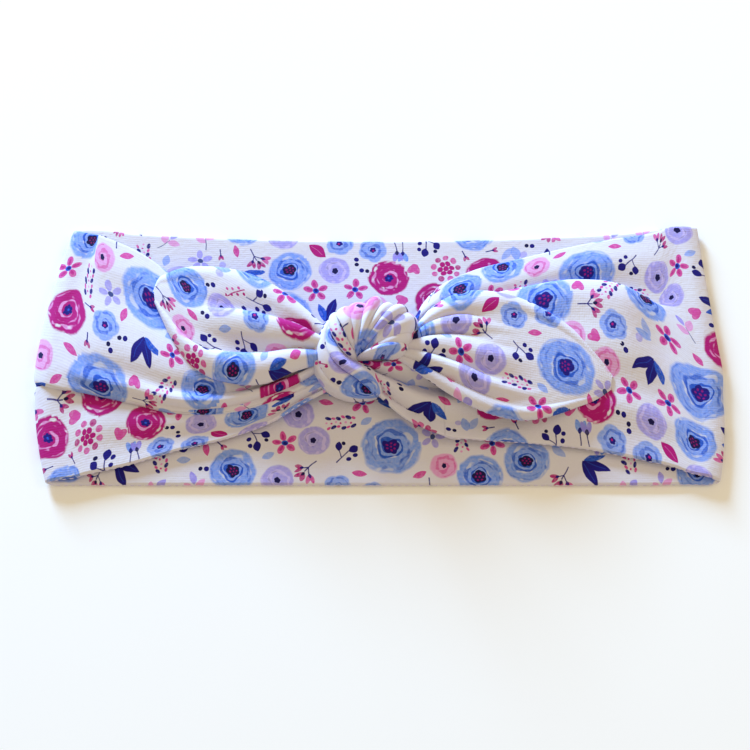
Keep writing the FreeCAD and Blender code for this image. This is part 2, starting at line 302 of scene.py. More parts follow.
def make_strokes():
    """Curved brush strokes that wind round a rose, broken up as a wet brush leaves them."""
    tree, give = new_group("Strokes", dict(Inner=0.2, Outer=1.0, Rings=4.0, Cover=0.0, Turn=0.0), PLACE)
    moved = wavering(tree, give["Vector"], give["Vector"], 1.7, 0.3)
    xyz = add(tree, "ShaderNodeSeparateXYZ", [moved]).outputs
    flat = add(tree, "ShaderNodeCombineXYZ", {"X": xyz["X"], "Y": xyz["Y"]})
    radius = add(tree, VECTOR_MATH, [flat], operation="LENGTH").outputs["Value"]
    bearing = add(tree, MATH, [xyz["Y"], xyz["X"]], operation="ARCTAN2")
    angle = add(tree, MATH, [bearing, give["Turn"]], operation="ADD")
    rings = add(tree, MATH, [give["Rings"], math.tau], operation="MULTIPLY")
    run = add(tree, MATH, [radius, rings], operation="MULTIPLY")
    winding = add(tree, MATH, [run, angle], operation="ADD")
    wave = add(tree, MATH, [winding], operation="SINE")
    elsewhere = add(tree, VECTOR_MATH, [moved, give["Turn"]], operation="ADD")
    patch = add(tree, NOISE, {"Vector": elsewhere, "Scale": 2.3, "Detail": 1.0}).outputs["Fac"]
    centred = add(tree, MATH, [patch, 0.5], operation="SUBTRACT")
    breaks = add(tree, MATH, [centred, 4.5], operation="MULTIPLY")
    broken = add(tree, MATH, [wave, breaks], operation="ADD")
    level = add(tree, MATH, [broken, give["Cover"]], operation="ADD")
    stroke = add(tree, MAP_RANGE, {"Value": level, "From Min": 0.0, "From Max": 0.55})
    room_out = add(tree, MATH, [give["Outer"], radius], operation="SUBTRACT")
    room_in = add(tree, MATH, [radius, give["Inner"]], operation="SUBTRACT")
    outside = add(tree, MAP_RANGE, {"Value": room_out, "From Min": -0.02, "From Max": 0.05})
    inside = add(tree, MAP_RANGE, {"Value": room_in, "From Min": -0.02, "From Max": 0.04})
    between = add(tree, MATH, [outside, inside], operation="MULTIPLY")
    mask = add(tree, MATH, [stroke, between], operation="MULTIPLY")
    add(tree, "NodeGroupOutput", {"Mask": mask})


SHAPES = {"petals": make_petals, "blade": make_blade, "stem": make_stem, "strokes": make_strokes}


def dot(x, y, size, ink, strength=1.2):
    """A round dot as one layer of a motif."""
    return ("blade", dict(X=x - size, Y=y, Length=2 * size, Width=size, Point=0.5), ink, strength)


def ring_of_dots(count, radius, size, ink, strength=1.2, turn=0.0):
    """Dots evenly spaced round a circle, with one in the middle."""
    layers = [dot(0.0, 0.0, size, ink, strength)]
    for k in range(count):
        a = turn + math.tau * k / count
        layers.append(dot(radius * math.cos(a), radius * math.sin(a), size, ink, strength))
    return layers


def leaf(x, y, degrees, length, width, ink, strength=0.9, vein=None):
    """A pointed leaf, with a paler line along it where a vein is wanted."""
    turn = math.radians(degrees)
    layers = [("blade", dict(X=x, Y=y, Turn=turn, Length=length, Width=width, Point=0.9), ink, strength)]
    if vein:
        start = 0.12 * length
        layers.append(("stem", dict(X=x + start * math.cos(turn), Y=y + start * math.sin(turn), Turn=turn,
                                    Length=0.7 * length, Width=0.012), vein, 0.7))
    return layers


def bud(x, y, degrees, petal, calyx, size):
    """A closed flower on the end of a stem: petals with a dark calyx at their foot."""
    turn = math.radians(degrees)
    layers = [("blade", dict(X=x, Y=y, Turn=turn + side * 0.4, Length=size, Width=0.24 * size, Point=0.6),
               petal, 0.85) for side in (-1, 1)]
    back = 0.12 * size
    layers.append(("blade", dict(X=x - back * math.cos(turn), Y=y - back * math.sin(turn), Turn=turn,
                                 Length=0.5 * size, Width=0.17 * size, Point=0.7), calyx, 0.95))
    return layers


def stem(x, y, degrees, length, ink="navy", width=0.03, bend=0.0):
    """A stroke of the brush as one layer of a motif."""
    values = dict(X=x, Y=y, Turn=math.radians(degrees), Length=length, Width=width, Bend=bend)
    return ("stem", values, ink, 0.9)


def big_rose(wash, brush, heart, dots):
    """A full rose: a pale wash, broad broken strokes that wind in, and a dark heart with bright dots."""
    layers = [("petals", dict(Count=4.0, Inner=-0.1, Outer=1.0, Width=0.8), wash, 0.8),
              ("strokes", dict(Inner=0.62, Outer=0.97, Rings=3.0, Cover=-0.6), brush, 0.42),
              ("strokes", dict(Inner=0.4, Outer=0.98, Rings=2.3, Cover=-0.8, Turn=3.0), "ground", 0.6),
              ("strokes", dict(Inner=0.36, Outer=0.72, Rings=3.4, Cover=-0.25, Turn=0.8), brush, 0.72),
              ("strokes", dict(Inner=0.18, Outer=0.5, Rings=5.0, Cover=0.35, Turn=1.9), brush, 0.95),
              ("petals", dict(Count=5.0, Inner=0.0, Outer=0.3, Width=0.15), heart, 1.2)]
    return layers + ring_of_dots(6, 0.15, 0.045, dots, 0.6)


def seeds(rows):
    """Ovals in rows on either side of a stalk, as seed heads are drawn."""
    layers = []
    for k in range(rows):
        x = -0.8 + 1.6 * k / (rows - 1)
        for side in (-1, 1):
            ink = "navy" if (k + (side > 0)) % 2 else "pink"
            size = 0.19 if ink == "navy" else 0.14
            y = side * (0.27 + 0.05 * (k % 3)) - 0.5 * side * size
            oval = dict(X=x - size, Y=y, Turn=side * 0.5, Length=2.1 * size, Width=0.68 * size, Point=0.5)
            layers.append(("blade", oval, ink, 0.95))
        layers.append(dot(x + 0.14, 0.04 * (-1) ** k, 0.075, "blush" if k % 2 else "pink"))
    return layers


def berries(count, radius, size):
    """A ring of berries, every third one darker."""
    layers = []
    for k in range(count):
        angle = math.tau * k / count
        ink = "pink" if k % 3 else "magenta"
        layers.append(dot(radius * math.cos(angle), radius * math.sin(angle), size, ink, 0.85))
    return layers


def heart_lobe(x, turn):
    return ("blade", dict(X=x, Y=0.62, Turn=turn, Length=1.5, Width=0.46, Point=0.5), "pink", 0.9)


def twig_dots(count):
    """Dots on alternate sides of a twig."""
    layers = []
    for k in range(count):
        y = -0.02 + 0.2 * (-1) ** k + 0.03 * k
        layers.append(dot(-0.75 + 0.27 * k, y, 0.11, "pink" if k % 2 else "magenta"))
    return layers


# Each motif: its radius in millimetres, how many fall in one repeat, and its layers from the ground up.
MOTIFS = {
    "big_blue_rose": (11.0, 4, big_rose("sky", "cobalt", "navy", "magenta")),
    "blue_rose": (8.4, 7, big_rose("sky", "cobalt", "ink", "magenta")),
    "magenta_rose": (7.6, 6, [
        ("petals", dict(Count=3.0, Inner=-0.1, Outer=1.0, Width=0.85), "magenta", 1.2),
        ("strokes", dict(Inner=0.5, Outer=0.97, Rings=2.4, Cover=-0.75, Turn=2.0), "blush", 0.75),
        ("strokes", dict(Inner=0.5, Outer=1.0, Rings=1.5, Cover=-1.15, Turn=0.6), "ground", 1.1),
        ("strokes", dict(Inner=0.2, Outer=0.62, Rings=3.0, Cover=-0.5, Turn=2.4), "blush", 0.95),
    ] + ring_of_dots(6, 0.15, 0.09, "navy") + [dot(0.0, 0.0, 0.06, "cobalt")]),
    "navy_leaves": (6.4, 8, leaf(-0.85, -0.5, 8, 1.75, 0.3, "navy", 1.25, "cobalt")
                    + leaf(-0.82, -0.45, 48, 1.6, 0.3, "navy", 1.25, "cobalt")
                    + leaf(-0.85, -0.45, 88, 1.3, 0.24, "cobalt", 0.95, "navy")),
    "lavender_poppy": (6.0, 6, [
        ("petals", dict(Count=4.0, Inner=-0.05, Outer=0.98, Width=0.75), "lavender", 0.7),
        ("strokes", dict(Inner=0.3, Outer=0.95, Rings=1.8, Cover=-0.3), "lilac", 0.75),
        ("strokes", dict(Inner=0.25, Outer=0.6, Rings=3.0, Cover=-0.5, Turn=2.0), "slate", 0.4),
    ] + ring_of_dots(5, 0.1, 0.11, "ink")),
    "blue_poppy": (5.6, 6, [
        ("petals", dict(Count=5.0, Inner=-0.05, Outer=0.98, Width=0.55, Turn=0.5), "sky", 0.72),
        ("strokes", dict(Inner=0.28, Outer=0.8, Rings=2.2, Cover=-0.1), "cobalt", 0.6),
    ] + ring_of_dots(5, 0.13, 0.11, "navy") + [dot(0.05, 0.03, 0.08, "magenta")]),
    "pink_poppy": (5.4, 5, [
        ("petals", dict(Count=4.0, Inner=-0.05, Outer=0.96, Width=0.7), "blush", 0.9),
        ("strokes", dict(Inner=0.2, Outer=0.85, Rings=2.0, Cover=-0.1), "pink", 0.6),
    ] + ring_of_dots(5, 0.1, 0.1, "ink")),
    "pink_daisy": (5.0, 9, [
        ("petals", dict(Count=5.0, Inner=0.2, Outer=0.97, Width=0.24), "pink", 0.95),
        ("petals", dict(Count=5.0, Inner=0.28, Outer=0.75, Width=0.1), "magenta", 0.65),
        dot(0, 0, 0.23, "cobalt"), dot(0.03, 0.02, 0.14, "navy")]),
    "pale_daisy": (5.0, 4, [
        ("petals", dict(Count=5.0, Inner=0.2, Outer=0.97, Width=0.24), "lavender", 0.7),
        dot(0, 0, 0.2, "slate")]),
    "magenta_leaves": (4.6, 5, leaf(-0.1, -0.95, 95, 1.9, 0.5, "magenta", 1.2, "blush")),
    "pink_leaves": (5.0, 5, leaf(-0.1, -0.35, 150, 0.95, 0.28, "pink", 0.9)
                    + leaf(0.0, -0.4, 70, 1.2, 0.3, "magenta", 0.9)
                    + leaf(0.1, -0.35, 8, 0.9, 0.25, "blush", 0.95)),
    "pale_sprig": (5.6, 3, [stem(-0.9, -0.5, 25, 1.1, "slate", 0.03)]
                   + leaf(-0.3, -0.2, 75, 0.9, 0.26, "blush", 0.95)
                   + leaf(-0.1, -0.12, -25, 0.95, 0.26, "blush", 0.95)
                   + leaf(0.15, 0.02, 35, 0.9, 0.24, "lavender", 0.8)),
    "blue_leaves": (5.2, 6, leaf(-0.6, -0.75, 62, 1.3, 0.34, "sky", 0.7)
                    + leaf(-0.4, -0.7, 12, 1.25, 0.3, "sky", 0.6) + [dot(-0.6, 0.3, 0.28, "lavender", 0.55)]),
    "bell_sprig": (5.2, 9, [stem(-0.85, -0.7, 40, 1.5, width=0.045),
                            stem(-0.45, -0.35, 100, 0.75, width=0.04)]
                   + leaf(-0.6, 0.2, 80, 0.68, 0.27, "navy", 1.25)
                   + leaf(0.1, 0.05, 25, 0.75, 0.3, "navy", 1.25)
                   + [dot(0.05, -0.55, 0.17, "navy", 1.25), dot(0.5, -0.3, 0.17, "navy", 1.25),
                      dot(-0.15, 0.75, 0.15, "ink", 1.25)]),
    "bud_sprig": (5.2, 8, [stem(-0.95, 0.1, -8, 1.1, width=0.045), stem(-0.25, 0.0, 40, 0.5, width=0.04),
                            stem(-0.25, 0.0, -50, 0.45, width=0.04)]
                  + bud(0.15, 0.35, 40, "pink", "navy", 0.72) + bud(0.0, -0.34, -50, "magenta", "navy", 0.66)
                  + bud(0.25, -0.02, -8, "magenta", "ink", 0.72)),
    "bell_pair": (4.8, 6, [stem(-0.95, 0.3, -6, 0.95, width=0.045), stem(-0.95, -0.35, 6, 0.85, width=0.045)]
                  + bud(0.0, 0.24, -6, "sky", "navy", 0.95) + bud(-0.08, -0.28, 4, "lavender", "ink", 0.95)),
    "seed_head": (5.8, 6, seeds(6)),
    "berry_flower": (6.4, 2, ring_of_dots(6, 0.34, 0.17, "magenta") + berries(9, 0.74, 0.19)),
    "heart": (3.3, 7, [heart_lobe(-0.62, -0.93), heart_lobe(0.62, -2.21)]),
    "dotted_twig": (4.8, 4, [stem(-0.95, -0.1, 8, 1.9, "magenta", 0.04, 0.1)] + twig_dots(7)),
    "small_leaf": (3.0, 12, leaf(-0.95, 0.0, 0, 1.9, 0.42, "pink", 0.95, "magenta")),
    "small_blue": (2.8, 10, leaf(-0.9, 0.0, 0, 1.8, 0.5, "sky", 0.65)),
    "berry_pair": (2.3, 14, [dot(-0.35, 0.1, 0.42, "navy", 1.25), dot(0.55, -0.25, 0.36, "ink", 1.25)]),
    "small_bud": (2.6, 12, [stem(-1.0, 0.0, 0, 1.1, width=0.09)] + bud(0.0, 0.0, 0, "magenta", "navy", 0.95)),
}
MOTIF_NAMES = list(MOTIFS)


# ---- finishes -------------------------------------------------------------------------------
UV_SCALE = 0.1                      # metres of cloth in one unit of the cloth map
WAVES_PER_UNIT = 10 / math.pi       # bands of a wave texture in one unit at scale 1
JERSEY_NAME = "brushed_jersey_"     # each motif's finish is this and the motif's name


def make_knit():
    """Height of the knit: ribs along the cloth, crossed by rows of loops, under a brushed nap."""
    tree, give = new_group("Knit", dict(Ribs=300.0), {"Cloth": "NodeSocketVector"})
    cloth = add(tree, VECTOR_MATH, {0: give["Cloth"], "Scale": give["Ribs"]}, operation="SCALE")
    ribs = add(tree, "ShaderNodeTexWave", {
        "Vector": cloth, "Scale": 1.0, "Distortion": 0.7, "Detail": 1.0}, bands_direction="Y").outputs["Fac"]
    rows = add(tree, "ShaderNodeTexWave", {
        "Vector": cloth, "Scale": 1.35, "Distortion": 1.2, "Detail": 1.0}, bands_direction="X").outputs["Fac"]
    nap = add(tree, NOISE, {"Vector": cloth, "Scale": 1.6, "Detail": 3.0}).outputs["Fac"]
    rib_height = add(tree, MATH, [ribs, 0.15], operation="MULTIPLY")
    row_height = add(tree, MATH, [rows, 0.10], operation="MULTIPLY")
    loops = add(tree, MATH, [row_height, nap], operation="ADD")
    total = add(tree, MATH, [rib_height, loops], operation="ADD")
    add(tree, "NodeGroupOutput", {"Mask": total})


def jersey(name, layers):
    """Double-brushed jersey with one motif printed on it.

    The brushed nap gives a soft pale edge to every fold and no gloss, and the ribs, drawn coarser than
    real ones so that they show, follow the cloth. The ink soaks in, so it never covers quite evenly.
    """
    material, tree, shader = new_material(JERSEY_NAME + name)
    cloth = add(tree, "ShaderNodeUVMap", uv_map="cloth").outputs[0]
    place = add(tree, "ShaderNodeUVMap", uv_map="motif").outputs[0]
    mottle = add(tree, NOISE, {"Vector": cloth, "Scale": 9.0, "Detail": 3.0}).outputs["Fac"]
    tint = add(tree, MATH, [mottle, 0.35], operation="MULTIPLY")
    ground = add(tree, MIX, {"Factor": tint, COLOUR_A: colour("ground"), COLOUR_B: colour("lilac")},
                 data_type="RGBA")
    result = ground.outputs[MIXED_COLOUR]
    place = wavering(tree, place, cloth, 20.0, 0.24)
    pool = add(tree, NOISE, {"Vector": cloth, "Scale": 90.0, "Detail": 3.0}).outputs["Fac"]
    uneven = add(tree, MAP_RANGE, {
        "Value": pool, "From Min": 0.3, "From Max": 0.7, "To Min": 0.86, "To Max": 1.22})
    for shape, values, ink, strength in layers:
        drawn = bpy.data.node_groups[shape.title()]
        mask = add(tree, "ShaderNodeGroup", {"Vector": place, **values}, node_tree=drawn)
        strong = add(tree, MATH, [uneven, strength], operation="MULTIPLY")
        amount = add(tree, MATH, [mask, strong], operation="MULTIPLY", use_clamp=True)
        printed = add(tree, MIX, {"Factor": amount, COLOUR_A: result, COLOUR_B: colour(ink)},
                      data_type="RGBA")
        result = printed.outputs[MIXED_COLOUR]
    ribs = UV_SCALE / (sizes().wale_spacing * WAVES_PER_UNIT)
    knit_tree = bpy.data.node_groups["Knit"]
    knit = add(tree, "ShaderNodeGroup", {"Cloth": cloth, "Ribs": ribs}, node_tree=knit_tree)
    bump = add(tree, "ShaderNodeBump", {"Strength": 0.28, "Distance": 0.0005, "Height": knit})
    feed(tree, shader, {
        "Base Color": result, "Normal": bump, "Roughness": 0.86, "IOR": 1.45, "Specular IOR Level": 0.25,
        "Sheen Weight": 0.12, "Sheen Roughness": 0.45, "Sheen Tint": (0.86, 0.90, 1.0, 1.0)})
    return material


def sewing_thread():
    """Polyester sewing thread: a fine twist with a slight gleam, paler than the cloth."""
    material, tree, shader = new_material("polyester_thread")
    where = add(tree, "ShaderNodeTexCoord").outputs["Object"]
    twist = add(tree, NOISE, {"Vector": where, "Scale": 2500.0, "Detail": 2.0}).outputs["Fac"]
    tone = add(tree, MIX, {"Factor": twist, COLOUR_A: colour("thread"), COLOUR_B: colour("lilac")},
               data_type="RGBA")
    bump = add(tree, "ShaderNodeBump", {"Strength": 0.3, "Distance": 0.00005, "Height": twist})
    feed(tree, shader, {"Base Color": tone.outputs[MIXED_COLOUR], "Normal": bump, "Roughness": 0.5})
    return material


def cloth_materials():
    """Every printed finish, in the order that faces refer to them, made once."""
    if "Knit" not in bpy.data.node_groups:
        for make in SHAPES.values():
            make()
        make_knit()
        for name, (_, _, layers) in MOTIFS.items():
            jersey(name, layers)
        sewing_thread()
    return [bpy.data.materials[JERSEY_NAME + name] for name in MOTIF_NAMES]


# ---- where the flowers fall -----------------------------------------------------------------
SPROUT_GAP = -0.35          # room between the circles of small motifs, in mm: sprigs may reach in a little
ROSE_GAP = 0.2              # room round a bigger one
SMALL_RADIUS = 5.5
TRIES = 2500                # places tried for each kind of motif
FACES_AT_ONCE = 4000        # faces compared with the motifs at one time, to save memory


@functools.lru_cache(maxsize=None)
def scatter(seed, repeat_along, repeat_across):
    """Motifs of one repeat as rows of x, y, radius, turn and kind, largest first, none overlapping."""
    repeat = np.array([repeat_along, repeat_across]) / MM
    rng = np.random.default_rng(seed)
    placed = []
    for name in sorted(MOTIF_NAMES, key=lambda name: -MOTIFS[name][0]):
        radius, count, _ = MOTIFS[name]
        gap = SPROUT_GAP if radius < SMALL_RADIUS else ROSE_GAP
        done = 0
        for _ in range(TRIES):
            if done == count:
                break
            spot = rng.random(2) * repeat
            turn = rng.random() * math.tau
            if placed:
                rows = np.array(placed)
                away = np.abs(rows[:, :2] - spot)
                away = np.minimum(away, repeat - away)
                if np.any(np.hypot(*away.T) < rows[:, 2] + radius + gap):
                    continue
            placed.append([spot[0], spot[1], radius, turn, MOTIF_NAMES.index(name)])
            done += 1
    return np.array(placed), repeat


def face_corners(mesh):
    """Each face's first corner, and how many it has."""
    starts = np.empty(len(mesh.polygons), int)
    totals = np.empty(len(mesh.polygons), int)
    mesh.polygons.foreach_get("loop_start", starts)
    mesh.polygons.foreach_get("loop_total", totals)
    return starts, totals


def print_on(mesh, cloth):
    """Give each face the motif nearest to it, and each corner its place in that motif.

    cloth holds each corner's place on the cloth in millimetres, in the order of the mesh's loops.
    """
    size = sizes()
    motifs, repeat = scatter(size.print_seed, size.repeat_along, size.repeat_across)
    for material in cloth_materials():
        mesh.materials.append(material)
    starts, totals = face_corners(mesh)
    middle = np.add.reduceat(cloth, starts, axis=0) / totals[:, None]
    nearest = np.empty(len(middle), int)
    for k in range(0, len(middle), FACES_AT_ONCE):
        part = middle[k:k + FACES_AT_ONCE, None, :] - motifs[None, :, :2]
        part -= np.round(part / repeat) * repeat
        away = np.hypot(part[..., 0], part[..., 1]) - motifs[:, 2]
        nearest[k:k + FACES_AT_ONCE] = np.argmin(away, axis=1)
    chosen = motifs[nearest]
    mesh.polygons.foreach_set("material_index", chosen[:, 4].astype(np.int32))
    base = middle - chosen[:, :2]
    home = middle - (base - np.round(base / repeat) * repeat)
    face = np.repeat(np.arange(len(starts)), totals)
    local = (cloth - home[face]) / chosen[face, 2:3]
    cosine, sine = np.cos(chosen[face, 3]), np.sin(chosen[face, 3])
    motif = np.stack([local[:, 0] * cosine + local[:, 1] * sine,
                      local[:, 1] * cosine - local[:, 0] * sine], axis=1)
    for name, values in (("cloth", cloth * MM / UV_SCALE), ("motif", motif)):
        layer = mesh.uv_layers.new(name=name)
        layer.data.foreach_set("uv", values.astype(np.float32).ravel())


def in_scene(name, data):
    """A new object in the scene, at the origin."""
    obj = bpy.data.objects.new(name, data)
    bpy.context.collection.objects.link(obj)
    return obj


# ---- surfaces -------------------------------------------------------------------------------
def eased(values, knots, at):
    """Values at knots, joined by smooth curves and read at other places."""
    values, knots, at = np.asarray(values, float), np.asarray(knots, float), np.asarray(at, float)
    slope = np.gradient(values, knots, axis=0)
    k = np.clip(np.searchsorted(knots, at, side="right") - 1, 0, len(knots) - 2)
    h = knots[k + 1] - knots[k]
    t = (at - knots[k]) / h
    shape = (-1,) + (1,) * (values.ndim - 1)
    t, h = t.reshape(shape), h.reshape(shape)
    return ((2 * t ** 3 - 3 * t ** 2 + 1) * values[k] + (t ** 3 - 2 * t ** 2 + t) * h * slope[k]
            + (3 * t ** 2 - 2 * t ** 3) * values[k + 1] + (t ** 3 - t ** 2) * h * slope[k + 1])


def steps(low, high, step, edge=()):
    """Places from low to high about a step apart, with closer ones beside each end."""
    inner = np.linspace(low, high, max(2, int(round((high - low) / step))) + 1)
    near = [low + e for e in edge] + [high - e for e in edge]
    keep = [x for x in inner if all(abs(x - n) > 0.35 * step for n in near) or x in (low, high)]
    return np.array(sorted(set(keep + near)))


def running_length(points):
    """Distance from the first point to each one, along the line of points."""
    return np.concatenate([[0], np.cumsum(np.linalg.norm(np.diff(points, axis=0), axis=1))])


def eased_net(net, knots, lines, along, across):
    """A net of points made a smooth surface, read at rows along and at columns across."""
    rows = eased(net, knots, along)
    return eased(rows.transpose(1, 0, 2), lines, across).transpose(1, 0, 2)


def unit(vectors):
    return vectors / np.maximum(np.linalg.norm(vectors, axis=-1, keepdims=True), 1e-9)


def slab(name, middle, along, across, thickness, flip=False, crop=None):
    """A closed sheet of two plies about a middle surface, with round long edges and square ends.

    middle is a grid of points, along and across the cloth coordinates of its rows and columns, and
    crop the rows to keep. flip turns the side that faces out. Rows outside the crop still shape it.
    """
    normal = unit(np.cross(np.gradient(middle, axis=0), np.gradient(middle, axis=1)))
    if flip:
        normal = -normal
    width = across[-1] - across[0]
    inset = np.minimum(across - across[0], across[-1] - across) / (0.7 * thickness)
    half = thickness / 2 * np.sqrt(np.clip(1 - (1 - np.minimum(inset, 1)) ** 2, 0, 1))
    upper = middle + normal * half[None, :, None]
    lower = middle - normal * half[None, :, None]
    points = np.concatenate([upper, lower[:, -2:0:-1]], axis=1)
    around = np.roll(points, -1, axis=1) - np.roll(points, 1, axis=1)
    outward = unit(np.cross(np.gradient(points, axis=0), around))
    if flip:
        outward = -outward
    if crop is not None:
        points, outward, along = points[crop], outward[crop], along[crop]
    rows, columns = len(points), middle.shape[1]
    ring = 2 * columns - 2
    u = np.repeat(along[:, None], ring + 1, axis=1)
    v = np.concatenate([across, (across[-1] + width - (across[-2:0:-1] - across[0])),
                        [across[-1] + width]])
    v = np.repeat(v[None, :], rows, axis=0)
    i, j = np.meshgrid(np.arange(rows - 1), np.arange(ring), indexing="ij")
    i, j = i.ravel(), j.ravel()
    k = (j + 1) % ring
    quads = np.stack([i * ring + j, (i + 1) * ring + j, (i + 1) * ring + k, i * ring + k], axis=1)
    coords = np.stack([
        np.stack([u[i, j], v[i, j]], 1), np.stack([u[i + 1, j], v[i + 1, j]], 1),
        np.stack([u[i + 1, j + 1], v[i + 1, j + 1]], 1), np.stack([u[i, j + 1], v[i, j + 1]], 1)], axis=1)
    caps, cap_coords = [], []
    for row, turn in ((0, 1), (rows - 1, -1)):
        for a in range(columns - 1):
            b = a + 1
            top = (a, b)
            under = ((ring - b) % ring, (ring - a) % ring)
            ids = [row * ring + x for x in (top[0], top[1], under[0], under[1])]
            where = [(u[row, 0], across[x]) for x in (a, b, b, a)]
            if b == columns - 1:
                ids, where = [ids[0], ids[1], ids[3]], [where[0], where[1], where[3]]
            elif a == 0:
                ids, where = ids[:3], where[:3]
            caps.append(ids[::turn])
            cap_coords.append(where[::turn])
    if flip:
        quads, coords = quads[:, ::-1], coords[:, ::-1]
        caps = [c[::-1] for c in caps]
        cap_coords = [c[::-1] for c in cap_coords]
    faces = [list(map(int, q)) for q in quads] + caps
    cloth = np.concatenate([coords.reshape(-1, 2)] + [np.array(c, float) for c in cap_coords])
    corners = np.zeros((len(cloth), 3))
    corners[:4 * len(quads)] = outward.reshape(-1, 3)[quads.ravel()]
    return cloth_object(name, points.reshape(-1, 3), faces, cloth, corners)


def cloth_object(name, points, faces, cloth, corners=None):
    """An object of printed cloth from points in millimetres, with the way that each corner faces."""
    mesh = bpy.data.meshes.new(name)
    mesh.from_pydata((points * MM).tolist(), [], faces)
    mesh.polygons.foreach_set("use_smooth", np.ones(len(faces), bool))
    print_on(mesh, cloth)
    mesh.update()
    if corners is not None:
        mesh.normals_split_custom_set(corners.tolist())
    obj = in_scene(name, mesh)
    return obj


# ---- stitches -------------------------------------------------------------------------------
def make_stitch_tree():
    """Stitches of one length, set a pitch apart along an edge."""
    tree, give = new_group(
        "Seam stitches", dict(Pitch=0.0026, Length=0.0016, Thickness=0.00045),
        {"Edge": "NodeSocketGeometry", "Thread": "NodeSocketMaterial"},
        "GeometryNodeTree", ("Stitches", "NodeSocketGeometry"))
    line = add(tree, "GeometryNodeMeshToCurve", {"Mesh": give["Edge"]}).outputs[0]
    spots = add(tree, "GeometryNodeCurveToPoints", {"Curve": line, "Length": give["Pitch"]},
                mode="LENGTH").outputs
    thread = add(tree, "GeometryNodeMeshUVSphere", {"Segments": 6, "Rings": 4, "Radius": 0.5}).outputs["Mesh"]
    smooth = add(tree, "GeometryNodeSetShadeSmooth", {"Geometry": thread}).outputs[0]
    size = add(tree, "ShaderNodeCombineXYZ", {
        "X": give["Thickness"], "Y": give["Thickness"], "Z": give["Length"]}).outputs[0]
    row = add(tree, "GeometryNodeInstanceOnPoints", {
        "Points": spots["Points"], "Instance": smooth, "Rotation": spots["Rotation"],
        "Scale": size}).outputs[0]
    real = add(tree, "GeometryNodeRealizeInstances", {"Geometry": row}).outputs[0]
    done = add(tree, "GeometryNodeSetMaterial", {"Geometry": real, "Material": give["Thread"]}).outputs[0]
    add(tree, "NodeGroupOutput", {"Stitches": done})
    return tree


def stitches_along(name, lines):
    """Rows of stitches along lines of points in millimetres, half sunk in the edge of the cloth."""
    cloth_materials()
    points = np.concatenate(lines)
    breaks = set(np.cumsum([len(line) for line in lines]) - 1)
    mesh = bpy.data.meshes.new(name + "_line")
    edges = [(k, k + 1) for k in range(len(points) - 1) if k not in breaks]
    mesh.from_pydata((points * MM).tolist(), edges, [])
    line = in_scene(name + "_line", mesh)
    tree = bpy.data.node_groups.get("Seam stitches") or make_stitch_tree()
    modifier = line.modifiers.new("Seam stitches", "NODES")
    modifier.node_group = tree
    size = sizes()
    values = {"Pitch": size.stitch_pitch, "Length": size.stitch_length, "Thickness": size.thread_thickness,
              "Thread": bpy.data.materials["polyester_thread"]}
    for socket in tree.interface.items_tree:
        if socket.item_type == "SOCKET" and socket.in_out == "INPUT" and socket.name in values:
            modifier[socket.identifier] = values[socket.name]
    made = bpy.data.meshes.new_from_object(line.evaluated_get(bpy.context.evaluated_depsgraph_get()))
    made.name = name
    bpy.data.objects.remove(line)
    obj = in_scene(name, made)
    return obj


